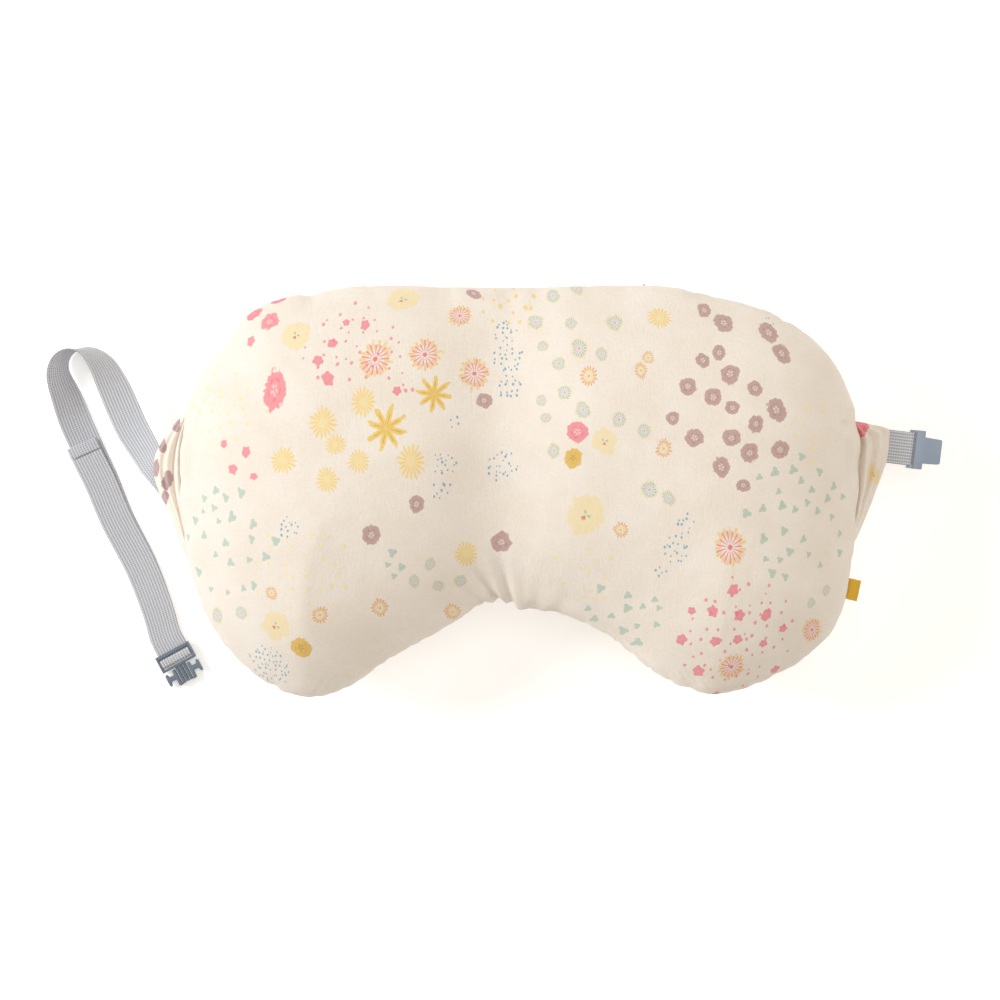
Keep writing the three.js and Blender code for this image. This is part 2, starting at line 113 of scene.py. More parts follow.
class Graph:
    """Adds nodes to a material or a group and joins them."""

    def __init__(self, tree):
        self.tree = tree

    def node(self, kind, inputs=None, **settings):
        made = self.tree.nodes.new(kind)
        for key, value in settings.items():
            setattr(made, key, value)
        for key, value in (inputs or {}).items():
            if isinstance(value, bpy.types.NodeSocket):
                self.tree.links.new(value, made.inputs[key])
            else:
                made.inputs[key].default_value = value
        return made

    def math(self, operation, a, b=0.0, c=0.0):
        return self.node("ShaderNodeMath", {0: a, 1: b, 2: c}, operation=operation).outputs[0]

    def plus(self, a, b):
        return self.math("ADD", a, b)

    def minus(self, a, b):
        return self.math("SUBTRACT", a, b)

    def times(self, a, b):
        return self.math("MULTIPLY", a, b)

    def vector(self, operation, a, b=(0, 0, 0)):
        made = self.node("ShaderNodeVectorMath", {0: a, 1: b}, operation=operation)
        return made.outputs["Value" if operation in ("LENGTH", "DISTANCE") else "Vector"]

    def split(self, vector):
        return self.node("ShaderNodeSeparateXYZ", {0: vector}).outputs

    def join(self, x, y, z=0.0):
        return self.node("ShaderNodeCombineXYZ", {0: x, 1: y, 2: z}).outputs[0]

    def mix(self, share, a, b):
        made = self.node("ShaderNodeMix", {0: share, 6: a, 7: b}, data_type="RGBA")
        return made.outputs[2]

    def noise(self, vector, scale, detail=2.0, roughness=0.5):
        inputs = {"Vector": vector, "Scale": scale, "Detail": detail, "Roughness": roughness}
        return self.node("ShaderNodeTexNoise", inputs).outputs[0]

    def ramp(self, value, low, high):
        """0 below low and 1 above high."""
        inputs = {"Value": value, "From Min": low, "From Max": high}
        return self.node("ShaderNodeMapRange", inputs, interpolation_type="SMOOTHSTEP").outputs[0]


def node_group(name, inputs, outputs):
    """An empty group, its graph, its input sockets and its output node."""
    tree = bpy.data.node_groups.new(name, "ShaderNodeTree")
    for title, kind, value in inputs:
        socket = tree.interface.new_socket(title, in_out="INPUT", socket_type=kind)
        if value is not None:
            socket.default_value = value
    for title, kind in outputs:
        tree.interface.new_socket(title, in_out="OUTPUT", socket_type=kind)
    graph = Graph(tree)
    source = tree.nodes.new("NodeGroupInput").outputs
    target = tree.nodes.new("NodeGroupOutput")
    return tree, graph, source, target


def material(name):
    """A new material, its graph and its Principled shader."""
    made = bpy.data.materials.new(name)
    made.use_nodes = True
    return made, Graph(made.node_tree), made.node_tree.nodes["Principled BSDF"]


def bumped(graph, shader, height, strength, distance):
    inputs = {"Height": height, "Strength": strength, "Distance": distance}
    bump = graph.node("ShaderNodeBump", inputs)
    graph.tree.links.new(bump.outputs[0], shader.inputs["Normal"])


def placed_group(graph, tree, inputs):
    return graph.node("ShaderNodeGroup", inputs, node_tree=tree).outputs


# ---------------------------------------------------------------- floral print

PINK = ("f0808f", "f9d4d2", "e5687c")
ROSE = ("e86f88", "f2a3ae", "e5687c")
MAUVE = ("bb9390", "f4e8dc", "a57f7d")
GOLD = ("e4b62a", "b6a03c", "d9a52c")
PALE = ("f6e2b2", "9fc6a8", "de7f80")
SAGE = ("b9cdbf", "b9cdbf", "b9cdbf")
BLOSSOM = ("f07f90", "f5a6ae", "ee8290")
LEMON = ("f7e0a4", "f2d082", "f7e0a4")
STARRY = ("efc950", "dca62f", "c98f28")
FIREWORK = ("ec7f8c", "f3cd6c", "e8606f")
SKY = ("84b8cd", "eedd8c", "ee8f98")
SPARK = ("f0ca4c", "e7946c", "e0b040")
DUSKY = ("a98488", "c9a5a4", "a98488")

# How each motif is drawn: its number, its petals and how deep they are cut. All three are kept in
# a colour's alpha, divided by the scale.
LOOK_SCALE = 10.0
LOOKS = {
    "leaf": (0, 3, 0.42),
    "flowerlet": (0, 5, 0.22),
    "blob": (1, 2, 0.06),
    "pale": (2, 5, 0.06),
    "star": (3, 8, 0.62),
    "soft_burst": (4, 0, 0.0),
    "burst": (5, 0, 0.0),
}

# Loose scatters: look, spacing, radius, inks and the clusters, each with its place as seen from
# above and its radius, in millimetres.
SCATTERS = [
    ("leaf", 11.6, 3.9, SAGE, [(-250, -45, 46), (-106, -67, 12), (97, -110, 34), (245, -25, 54)]),
    ("flowerlet", 17, 4.6, BLOSSOM,
     [(-150, 118, 36), (-231, 124, 8), (-243, 24, 20), (-99, 84, 10), (190, -134, 48)]),
    ("burst", 19, 6.0, SKY,
     [(52, 136, 38), (39, 69, 20), (97, 50, 14), (117, -4, 16), (-70, -74, 26), (266, -90, 14),
      (-250, -105, 20), (40, 30, 9)]),
    ("burst", 15, 6.2, SPARK,
     [(61, 97, 6), (111, 107, 9), (124, 36, 12), (93, -39, 6), (-167, -101, 7), (-123, -105, 7),
      (-55, -106, 6), (-206, -90, 6)]),
    ("blob", 20, 7.6, MAUVE,
     [(172, 96, 30), (158, 60, 26), (192, 50, 40), (200, 18, 26), (176, 148, 16),
      (-129, -43, 12), (-12, -50, 10), (228, 130, 14)]),
]

# Single motifs: look, x, y, radius, tallness and inks.
SINGLES = [
    ("blob", -209, 86, 10, 1.9, PINK), ("blob", -216, 147, 9.5, 0.9, PINK),
    ("blob", -231, 155, 8.5, 0.7, ROSE), ("blob", -211, 167, 8.5, 0.7, ROSE),
    ("blob", 52, 48, 9.5, 1.0, PINK), ("blob", 52, 28, 7.6, 1.25, GOLD),
    ("blob", -188, -138, 9.5, 1.0, GOLD), ("blob", -27, 78, 6.6, 1.1, MAUVE),
    ("blob", -87, -13, 6.4, 1.3, MAUVE), ("blob", -37, 170, 7.5, 0.6, MAUVE),
    ("blob", 180, -52, 6.0, 1.1, MAUVE), ("pale", -192, 136, 13, 1.1, PALE),
    ("pale", -99, 167, 15, 0.7, PALE), ("pale", 59, -20, 16, 1.15, PALE),
    ("pale", 74, 40, 10.5, 1.2, PALE), ("pale", -207, -117, 13.5, 1.0, PALE),
    ("star", -111, 53, 18, 1.1, STARRY), ("star", -70, 81, 16, 1.0, STARRY),
    ("soft_burst", -132, 76, 11, 1.2, LEMON), ("soft_burst", -166, 58, 12, 1.2, LEMON),
    ("soft_burst", -153, 38, 9, 1.0, LEMON), ("soft_burst", -134, 24, 9.5, 1.1, LEMON),
    ("soft_burst", -91, 24, 12, 1.3, LEMON), ("soft_burst", -160, 8, 10, 1.2, LEMON),
    ("soft_burst", -202, 25, 11, 1.1, LEMON), ("soft_burst", -43, -56, 10, 1.2, LEMON),
    ("soft_burst", 127, 151, 11, 1.0, LEMON), ("burst", -49, 153, 10, 1.0, FIREWORK),
    ("burst", -121, 113, 13, 1.25, FIREWORK), ("burst", -79, 116, 13, 1.05, FIREWORK),
    ("burst", -36, 101, 12, 1.1, FIREWORK), ("burst", 185, -50, 13, 1.2, FIREWORK),
    ("burst", 190, -156, 12, 1.0, FIREWORK), ("burst", 262, -124, 10, 1.2, FIREWORK),
]

# Single motifs on the wings' own cloth.
WING_MOTIFS = [
    ("blob", -305, 60, 4.6, 1.9, DUSKY), ("blob", -320, 42, 4.4, 2.2, DUSKY),
    ("blob", -326, 20, 3.6, 2.4, DUSKY), ("blob", -314, 8, 5.2, 2.0, DUSKY),
    ("blob", -317, -8, 4.2, 2.4, DUSKY),
    ("blob", 309, 57, 8, 1.3, ROSE), ("pale", 322, 14, 6, 1.5, PALE),
]

# Fine dots in the cloth: cell, radius, longest stretch, colour and clusters.
DOTS = [
    (12, 1.7, 1.1, "f8e7b4", [(-255, 65, 42), (-187, -72, 45), (57, -76, 32), (257, 50, 32)]),
    (11, 2.0, 1.2, "f2d68a", [(-4, 162, 26)]),
    (4.9, 0.85, 1.3, "5aa6c4",
     [(-9, 140, 12), (-7, 115, 14), (-5, 88, 12), (-53, 60, 7), (-58, 22, 12), (-66, 0, 9),
      (-14, 20, 14), (147, -30, 9), (135, -50, 12), (126, -70, 7), (-218, -155, 22),
      (-196, -33, 9), (226, 148, 6)]),
    (12, 1.3, 1.2, "ee8c98", [(-140, 128, 44), (-99, 92, 14), (196, -130, 54)]),
]


def planned_motifs(panel):
    """Every larger motif: its place on the cloth, radius, tallness, turn, look and inks."""
    draw = random.Random(5)
    taken = [(x, y, radius) for _, x, y, radius, _, _ in SINGLES]
    motifs = [(x, y, radius, tall, look, inks) for look, x, y, radius, tall, inks in SINGLES]
    for look, spacing, radius, inks, clusters in SCATTERS:
        for cx, cy, reach in clusters:
            for _ in range(60):
                angle, out = draw.uniform(0, math.tau), reach * math.sqrt(draw.random())
                x, y = cx + out * math.cos(angle), cy + out * math.sin(angle)
                size = radius * draw.uniform(0.75, 1.2)
                gaps = [math.hypot(x - a, y - b) - r for a, b, r in taken]
                if min(gaps) < size + spacing - 2 * radius:
                    continue
                taken.append((x, y, size))
                motifs.append((x, y, size, draw.uniform(0.9, 1.35), look, inks))
    placed = []
    for x, y, radius, tall, look, inks in motifs:
        place = cloth_place(panel, x, y)
        placed.append((*place, radius, tall, draw.uniform(-0.5, 0.5), look, inks))
    for look, x, y, radius, tall, inks in WING_MOTIFS:
        place = (x, y + WING_PRINT / MM)
        placed.append((*place, radius, tall, draw.uniform(-0.4, 0.4), look, inks))
    return placed


def lay_print(piece, motifs):
    """Gives each face the motif that lies nearest, and its corners their places in that motif."""
    mesh = piece.data
    loops, count = len(mesh.loops), len(mesh.polygons)
    cloth = np.empty(loops * 2, np.float32)
    mesh.uv_layers["UVMap"].data.foreach_get("uv", cloth)
    cloth = cloth.reshape(-1, 2) / MM
    sizes = np.empty(count, np.int32)
    mesh.polygons.foreach_get("loop_total", sizes)
    owner = np.repeat(np.arange(count), sizes)
    middle = np.column_stack([np.bincount(owner, cloth[:, k]) / sizes for k in (0, 1)])
    near, best = np.zeros(count, int), np.full(count, 1e9)
    for i, (x, y, radius, tall, *_) in enumerate(motifs):
        gap = np.hypot(middle[:, 0] - x, (middle[:, 1] - y) / tall) - radius
        closer = gap < best
        near[closer], best[closer] = i, gap[closer]
    table = np.array([motif[:5] for motif in motifs], float)[near][owner]
    offset = cloth - table[:, :2]
    turn = table[:, 4]
    turned = np.column_stack([
        offset[:, 0] * np.cos(turn) - offset[:, 1] * np.sin(turn),
        (offset[:, 0] * np.sin(turn) + offset[:, 1] * np.cos(turn)) / table[:, 3],
    ]) / table[:, 2:3]
    place = mesh.uv_layers.new(name="motif_place")
    place.data.foreach_set("uv", turned.astype(np.float32).ravel())
    mesh.uv_layers.active = mesh.uv_layers["UVMap"]
    looks = [LOOKS[motif[5]] for motif in motifs]
    for layer, name in enumerate(("motif_ink", "motif_accent", "motif_heart")):
        rows = [
            (*tint(motif[6][layer])[:3], look[layer] / LOOK_SCALE)
            for motif, look in zip(motifs, looks)
        ]
        colours = np.array(rows, np.float32)[near]
        attribute = mesh.attributes.new(name, "FLOAT_COLOR", "FACE")
        attribute.data.foreach_set("color", colours.ravel())


def between(graph, value, low, high, soft):
    """1 between low and high, with soft ends."""
    rise = graph.ramp(value, low - soft, low + soft)
    return graph.minus(rise, graph.ramp(value, high - soft, high + soft))


def stripes(graph, angle, count, phase, low, high):
    wave = graph.math("COSINE", graph.plus(graph.times(angle, count), phase))
    return graph.ramp(wave, low, high)


def larger_motifs():
    """A group: lays the nearest larger motif over the cloth's colour."""
    inputs = [
        ("Cloth", "NodeSocketColor", None), ("Place", "NodeSocketVector", None),
        ("Ink", "NodeSocketColor", None), ("Accent", "NodeSocketColor", None),
        ("Heart", "NodeSocketColor", None), ("Look", "NodeSocketFloat", None),
        ("Petals", "NodeSocketFloat", None), ("Depth", "NodeSocketFloat", None),
        ("Wobble", "NodeSocketFloat", None), ("Cover", "NodeSocketFloat", None),
    ]
    outputs = [("Color", "NodeSocketColor")]
    tree, graph, source, target = node_group("larger_motifs", inputs, outputs)
    x, y = graph.split(source["Place"])[:2]
    angle = graph.math("ARCTAN2", y, x)
    look = graph.math("ROUND", graph.times(source["Look"], LOOK_SCALE))
    petals = graph.math("ROUND", graph.times(source["Petals"], LOOK_SCALE))
    depth = graph.times(source["Depth"], LOOK_SCALE / 2)
    wave = graph.minus(1.0, graph.math("COSINE", graph.times(angle, petals)))
    wave = graph.minus(1.0, graph.times(wave, depth))
    uneven = graph.plus(graph.times(source["Wobble"], 0.9), 0.55)
    reach = graph.vector("LENGTH", source["Place"])
    share = graph.math("DIVIDE", reach, graph.times(uneven, wave))
    colour = source["Cloth"]

    def lay(mask, looks, name):
        nonlocal colour
        chosen = None
        for number in looks:
            same = graph.math("COMPARE", look, float(number), 0.4)
            chosen = same if chosen is None else graph.math("MAXIMUM", chosen, same)
        mask = graph.times(graph.times(mask, chosen), source["Cover"])
        colour = graph.mix(mask, colour, source[name])

    lay(between(graph, share, -1, 1, 0.06), (0, 1, 2, 3), "Ink")
    lay(between(graph, share, -1, 0.8, 0.28), (4,), "Ink")
    rays = stripes(graph, angle, 17.0, 1.0, -0.1, 0.8)
    lay(graph.times(between(graph, share, 0.3, 0.98, 0.14), rays), (4,), "Accent")
    lay(between(graph, share, -1, 0.2, 0.12), (0,), "Accent")
    gaps = stripes(graph, angle, 5.0, 0.7, -0.6, 0.2)
    lay(graph.times(between(graph, share, 0.08, 0.32, 0.06), gaps), (1,), "Accent")
    lay(graph.times(between(graph, share, 0.5, 0.56, 0.06), gaps), (1,), "Heart")
    marks = between(graph, share, 0.06, 0.26, 0.05)
    thirds = stripes(graph, angle, 3.0, 0.0, 0.3, 0.6)
    lay(graph.times(marks, thirds), (2,), "Accent")
    once = stripes(graph, angle, 1.0, 2.0, 0.75, 0.85)
    lay(graph.times(marks, once), (2,), "Heart")
    veins = stripes(graph, angle, 16.0, 0.0, 0.4, 0.9)
    lay(graph.times(between(graph, share, 0.1, 0.7, 0.1), veins), (3,), "Accent")
    outer = stripes(graph, angle, 15.0, math.pi, 0.0, 0.6)
    lay(graph.times(between(graph, share, 0.6, 1.08, 0.07), outer), (5,), "Accent")
    inner = stripes(graph, angle, 15.0, 0.0, 0.1, 0.6)
    lay(graph.times(between(graph, share, 0.24, 0.9, 0.08), inner), (5,), "Ink")
    lay(between(graph, share, -1, 0.15, 0.06), (5,), "Heart")
    tree.links.new(colour, target.inputs["Color"])
    return tree


def in_clusters(graph, spot, clusters, chance):
    """1 where a dot's middle lies in one of the clusters, thinned at their edges by chance."""
    best = None
    for x, y, radius in clusters:
        share = graph.math("DIVIDE", graph.vector("DISTANCE", spot, (x, y, 0)), radius)
        best = share if best is None else graph.math("MINIMUM", best, share)
    return graph.math("LESS_THAN", graph.plus(best, graph.times(chance, 0.3)), 1.12)


def fine_dots(panel):
    """A group: scatters fine dots over the cloth's colour, by its coordinates in millimetres."""
    inputs = [
        ("Cloth", "NodeSocketColor", None), ("Vector", "NodeSocketVector", None),
        ("Wobble", "NodeSocketFloat", None), ("Cover", "NodeSocketFloat", None),
    ]
    tree, graph, source, target = node_group("fine_dots", inputs, [("Color", "NodeSocketColor")])
    colour, spot = source["Cloth"], source["Vector"]
    for seed, (cell, radius, stretch, code, clusters) in enumerate(DOTS):
        shift = (137.0 * (seed + 1), 71.0 * (seed + 2), 0)
        moved = graph.vector("ADD", spot, shift)
        inputs = {"Vector": moved, "Scale": 1 / cell, "Randomness": 0.85}
        cells = graph.node("ShaderNodeTexVoronoi", inputs, voronoi_dimensions="2D").outputs
        chance = graph.split(cells["Color"])
        middle = graph.vector("SUBTRACT", cells["Position"], shift)
        x, y = graph.split(graph.vector("SUBTRACT", moved, cells["Position"]))[:2]
        lean = graph.times(graph.minus(chance[2], 0.5), 0.5)
        flat = graph.join(graph.plus(x, graph.times(y, lean)), graph.math("DIVIDE", y, stretch))
        size = graph.plus(graph.times(chance[1], 0.6), 0.4)
        size = graph.plus(size, graph.times(source["Wobble"], 0.5))
        share = graph.math("DIVIDE", graph.vector("LENGTH", flat), size)
        mask = graph.ramp(share, radius * 1.12, radius * 0.88)
        places = [(*cloth_place(panel, x, y), reach) for x, y, reach in clusters]
        mask = graph.times(mask, in_clusters(graph, middle, places, chance[0]))
        mask = graph.times(mask, source["Cover"])
        colour = graph.mix(mask, colour, tint(code))
    tree.links.new(colour, target.inputs["Color"])
    return tree


def woven_cloth():
    """A group: the height of a plain weave, from the cloth's own coordinates in metres."""
    inputs = [("Vector", "NodeSocketVector", None), ("Threads", "NodeSocketFloat", 2400.0)]
    tree, graph, source, target = node_group("woven_cloth", inputs, [("Height", "NodeSocketFloat")])
    x, y = graph.split(source["Vector"])[:2]
    turns = graph.times(source["Threads"], math.pi)
    warp = graph.math("SINE", graph.times(x, turns))
    weft = graph.math("SINE", graph.times(y, turns))
    weave = graph.times(warp, weft)
    slub = graph.noise(graph.vector("MULTIPLY", source["Vector"], (1, 0.35, 1)), 420.0, 3.0, 0.6)
    crumple = graph.noise(source["Vector"], 55.0, 4.0, 0.55)
    height = graph.plus(graph.times(weave, 0.12), graph.times(slub, 0.8))
    height = graph.plus(height, graph.times(crumple, 1.6))
    tree.links.new(height, target.inputs["Height"])
    return tree


RIBS = 11
WEB_WIDTH = 30 * MM
WEB_THICK = 1.4 * MM
PICK_PITCH = 0.0021  # between the knitted rows, along the webbing


def ribbed_webbing():
    """A group: height and painted shading of ribbed webbing, from its own coordinates in metres."""
    inputs = [("Vector", "NodeSocketVector", None)]
    outputs = [("Height", "NodeSocketFloat"), ("Painted Shading", "NodeSocketFloat")]
    tree, graph, source, target = node_group("ribbed_webbing", inputs, outputs)
    x, y = graph.split(source["Vector"])[:2]
    rib = graph.times(x, RIBS * math.tau / WEB_WIDTH)
    round_rib = graph.math("COSINE", rib)
    slant = graph.math("ABSOLUTE", graph.math("SINE", graph.times(rib, 0.5)))
    pick = graph.plus(graph.times(y, math.tau / PICK_PITCH), graph.times(slant, 2.6))
    knit = graph.math("SINE", pick)
    fuzz = graph.noise(source["Vector"], 1900.0, 2.0, 0.6)
    height = graph.plus(graph.times(round_rib, 0.4), graph.times(knit, 0.22))
    tree.links.new(graph.plus(height, graph.times(fuzz, 0.3)), target.inputs["Height"])
    # Painted shading: lighter on the rib crests and knitted rows, darker in the grooves between
    # them, with some random tone from the fuzz.
    painted_shading = graph.plus(graph.times(round_rib, 0.28), graph.times(knit, 0.2))
    painted_shading = graph.plus(graph.plus(painted_shading, 0.42), graph.times(fuzz, 0.22))
    tree.links.new(painted_shading, target.inputs["Painted Shading"])
    return tree


# ---------------------------------------------------------------- materials

def floor_material():
    made, _, shader = material("white_studio_floor")
    shader.inputs["Base Color"].default_value = (0.97, 0.97, 0.97, 1)
    shader.inputs["Emission Color"].default_value = (1, 1, 1, 1)
    shader.inputs["Emission Strength"].default_value = 0.3
    shader.inputs["Roughness"].default_value = 0.9
    return made


def printed_cotton(dots_group, motifs_group, weave_group):
    made, graph, shader = material("printed_cotton")
    cloth = graph.node("ShaderNodeUVMap", uv_map="UVMap").outputs[0]
    spot = graph.vector("MULTIPLY", cloth, (1000, 1000, 0))
    wobble = graph.noise(spot, 0.17, 2.0, 0.6)
    ink_cover = graph.ramp(graph.noise(spot, 0.9, 3.0, 0.7), 0.1, 0.42)
    ink_cover = graph.times(ink_cover, INK_STRENGTH)
    washed = graph.ramp(graph.noise(spot, 0.02, 3.0, 0.6), 0.3, 0.7)
    mottled = graph.ramp(graph.noise(spot, 0.45, 4.0, 0.7), 0.35, 0.7)
    washed = graph.plus(graph.times(washed, 0.6), graph.times(mottled, 0.6))
    ground = graph.mix(washed, tint(COTTON_CODE), tint(COTTON_SHADE))
    inputs = {"Cloth": ground, "Vector": spot, "Wobble": wobble, "Cover": ink_cover}
    dotted = placed_group(graph, dots_group, inputs)["Color"]
    parts = [
        graph.node("ShaderNodeAttribute", attribute_name=name).outputs
        for name in ("motif_ink", "motif_accent", "motif_heart")
    ]
    inputs = {
        "Cloth": dotted,
        "Place": graph.node("ShaderNodeUVMap", uv_map="motif_place").outputs[0],
        "Ink": parts[0]["Color"],
        "Accent": parts[1]["Color"],
        "Heart": parts[2]["Color"],
        "Look": parts[0]["Alpha"],
        "Petals": parts[1]["Alpha"],
        "Depth": parts[2]["Alpha"],
        "Wobble": wobble,
        "Cover": ink_cover,
    }
    printed = placed_group(graph, motifs_group, inputs)["Color"]
    graph.tree.links.new(printed, shader.inputs["Base Color"])
    height = placed_group(graph, weave_group, {"Vector": cloth})["Height"]
    bumped(graph, shader, height, 0.6, 0.0012)
    shader.inputs["Roughness"].default_value = 0.85
    shader.inputs["Specular IOR Level"].default_value = 0.25
    shader.inputs["Sheen Weight"].default_value = 0.15
    shader.inputs["Sheen Roughness"].default_value = 0.5
    return made


def plain_cloth(name, colour, weave_group, threads):
    made, graph, shader = material(name)
    place = graph.node("ShaderNodeTexCoord").outputs["Object"]
    inputs = {"Vector": place, "Threads": threads}
    height = placed_group(graph, weave_group, inputs)["Height"]
    # Painted shade: the low places of the weave, slubs and wrinkles are darkened to 0.82 of the
    # cloth's colour.
    painted_shading = graph.ramp(height, 0.4, 1.6)
    painted_shade_colour = tuple(0.82 * share for share in tint(colour)[:3]) + (1,)
    graph.tree.links.new(graph.mix(painted_shading, painted_shade_colour, tint(colour)), shader.inputs["Base Color"])
    bumped(graph, shader, height, 0.5, 0.0006)
    shader.inputs["Roughness"].default_value = 0.9
    return made


def grey_webbing(web_group):
    made, graph, shader = material("grey_webbing")
    cloth = graph.node("ShaderNodeUVMap").outputs[0]
    web = placed_group(graph, web_group, {"Vector": cloth})
    # Painted shading: the colour runs from a dark grey in the webbing's grooves to a light grey on
    # its rib crests.
    colour = graph.mix(web["Painted Shading"], tint("8f919b"), tint("dfe0e6"))
    graph.tree.links.new(colour, shader.inputs["Base Color"])
    bumped(graph, shader, web["Height"], 0.6, 0.0006)
    shader.inputs["Roughness"].default_value = 0.62
    shader.inputs["Sheen Weight"].default_value = 0.2
    return made


def moulded_plastic(name, colour, roughness):
    made, graph, shader = material(name)
    place = graph.node("ShaderNodeTexCoord").outputs["Object"]
    cloud = graph.noise(place, 60.0, 3.0)
    lighter = tuple(min(1, 1.18 * share) for share in tint(colour)[:3]) + (1,)
    graph.tree.links.new(graph.mix(cloud, tint(colour), lighter), shader.inputs["Base Color"])
    rough = graph.plus(graph.times(graph.noise(place, 900.0), 0.16), roughness)
    graph.tree.links.new(rough, shader.inputs["Roughness"])
    bumped(graph, shader, graph.noise(place, 2600.0, 2.0), 0.12, 0.0002)
    return made


def satin_metal(name):
    made, graph, shader = material(name)
    place = graph.node("ShaderNodeTexCoord").outputs["Object"]
    scratches = graph.noise(graph.vector("MULTIPLY", place, (300, 300, 4000)), 1.0, 2.0)
    colour = graph.mix(scratches, tint("a9abb0"), tint("d3d4d8"))
    graph.tree.links.new(colour, shader.inputs["Base Color"])
    rough = graph.plus(graph.times(scratches, 0.2), 0.25)
    graph.tree.links.new(rough, shader.inputs["Roughness"])
    shader.inputs["Metallic"].default_value = 0.9
    return made


# ---------------------------------------------------------------- meshes from grids

def new_object(name, points, faces, uvs=None):
    """A mesh object with its place in its mesh. uvs has one pair for each point."""
    mesh = bpy.data.meshes.new(name)
    mesh.from_pydata([tuple(p) for p in points], [], faces)
    mesh.update()
    if uvs is not None:
        layer = mesh.uv_layers.new(name="UVMap")
        loops = np.empty(len(mesh.loops), np.int32)
        mesh.loops.foreach_get("vertex_index", loops)
        layer.data.foreach_set("uv", np.asarray(uvs, np.float32)[loops].ravel())
    mesh.shade_smooth()
    made = bpy.data.objects.new(name, mesh)
    bpy.context.scene.collection.objects.link(made)
    return made


def tube_faces(rows, columns, first=0):
    """Quads along a tube of rings, and a face over each of its ends."""
    faces = []
    for i in range(rows - 1):
        for j in range(columns):
            a, b = first + i * columns + j, first + i * columns + (j + 1) % columns
            faces.append((a, b, b + columns, a + columns))
    last = first + (rows - 1) * columns
    faces.append(tuple(range(first, first + columns))[::-1])
    faces.append(tuple(range(last, last + columns)))
    return faces


def select_alone(*pieces):
    """Selects the pieces and nothing else, with the first one active."""
    bpy.ops.object.select_all(action="DESELECT")
    for piece in pieces:
        piece.select_set(True)
    bpy.context.view_layer.objects.active = pieces[0]


def apply_modifiers(piece):
    select_alone(piece)
    for modifier in list(piece.modifiers):
        bpy.ops.object.modifier_apply(modifier=modifier.name)
    piece.select_set(False)


def finish_piece(piece, body, slot, finish, *nodes):
    piece.data.materials.clear()
    piece.data.materials.append(finish)
    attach(piece, body)
    if nodes:
        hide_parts(*nodes)


# ---------------------------------------------------------------- cushion

AROUND = 1000
RINGS = 78
CENTRE = np.array([0.0, 0.020])
SEAM_Z = 80 * MM
CROWN = 84.5 * MM
BELLY = 96 * MM
BULGE = 165 * MM
OVERHANG = 2.4 * MM  # how far the stuffed panels stand out past their seam
ZIP_COVER = 3.4 * MM  # and how much further over the zip
VALLEY_DEPTH = 0.23
VALLEY_X = -12 * MM
VALLEY_WIDTH = 50 * MM
LUMP_HEIGHT = 1.5 * MM
LUMP_SIZE = 150 * MM
FLOOR_SOFTNESS = 5 * MM  # how gradually the lower panel meets the floor
COVER_WALL = 2.5 * MM
LINER_DEPTH = 9 * MM
LINER_GRAIN = 6 * MM
LINER_SWELL = 5 * MM

# The seam's outline in millimetres, anticlockwise.
OUTLINE = [
    (0, 182), (-65, 182), (-128, 182), (-190, 177), (-238, 160), (-266, 124), (-290, 90),
    (-301, 38), (-301, -18), (-290, -78), (-268, -129), (-230, -169), (-190, -186),
    (-152, -178), (-112, -151), (-72, -129), (-36, -108), (-11, -101), (10, -107),
    (46, -113), (86, -132), (128, -165), (170, -183), (210, -177), (256, -154),
    (290, -118), (303, -62), (309, 0), (308, 62), (284, 118), (240, 155), (184, 173),
    (128, 182), (65, 182),
]

# Folds pulled into the cover, in millimetres: start, end, half width and depth. A negative depth
# is a raised roll of cloth.
FOLDS = [
    ((-12, -104), (-42, -64), 4.0, 6.4), ((-6, -104), (-30, -50), 4.5, -3.6),
    ((-2, -106), (-16, -58), 3.5, 5.6), ((4, -108), (-6, -56), 4.5, -2.6),
    ((18, -110), (22, -70), 5.0, 1.6), ((-22, -106), (-58, -80), 4.5, 4.4),
    ((-34, -108), (-74, -92), 4.5, 2.6), ((-16, -105), (-46, -82), 4.0, -2.6),
    ((34, -113), (52, -86), 5.0, 1.6), ((-6, 184), (-4, 110), 9.0, 1.8),
    ((162, -188), (150, -150), 5.0, 2.0), ((236, -172), (226, -142), 5.0, 1.8),
    ((-218, -180), (-206, -150), 5.0, 1.6), ((-183, 184), (-178, 156), 7.0, 4.4),
    ((-68, 188), (-62, 156), 8.0, 3.6), ((22, 188), (20, 156), 6.0, 3.6),
    ((96, 188), (92, 164), 7.0, 2.0), ((246, 158), (228, 138), 6.0, 2.0),
    ((285, 76), (287, 30), 3.2, -2.6), ((296, 44), (298, -18), 3.2, -2.4),
    ((291, 58), (293, -8), 3.4, 3.4), ((-287, 70), (-289, 10), 4.0, 2.2),
    ((-292, 52), (-294, -24), 3.4, -2.2),
    ((306, 60), (282, 56), 7.0, 2.4), ((310, 20), (284, 18), 8.0, 2.2),
    ((310, -20), (280, -22), 9.0, 2.0), ((-302, 50), (-276, 46), 8.0, 2.2),
    ((-304, 8), (-276, 8), 8.0, 2.2), ((-304, -34), (-278, -32), 8.0, 2.0),
]


def smooth_line(points, spots, closed=False):
    """Places on a smooth curve through the points, at fractional indices."""
    points = np.asarray(points, float)
    spots = np.asarray(spots, float)
    last = len(points) - 1
    base = np.floor(spots).astype(int)
    if not closed:
        base = np.clip(base, 0, last - 1)
    part = (spots - base).reshape(-1, *[1] * (points.ndim - 1))
    steps = [base + k for k in (-1, 0, 1, 2)]
    a, b, c, d = (points[s % len(points) if closed else np.clip(s, 0, last)] for s in steps)
    cubic = 3 * (b - c) + d - a
    return b + 0.5 * part * (c - a + part * (2 * a - 5 * b + 4 * c - d + part * cubic))


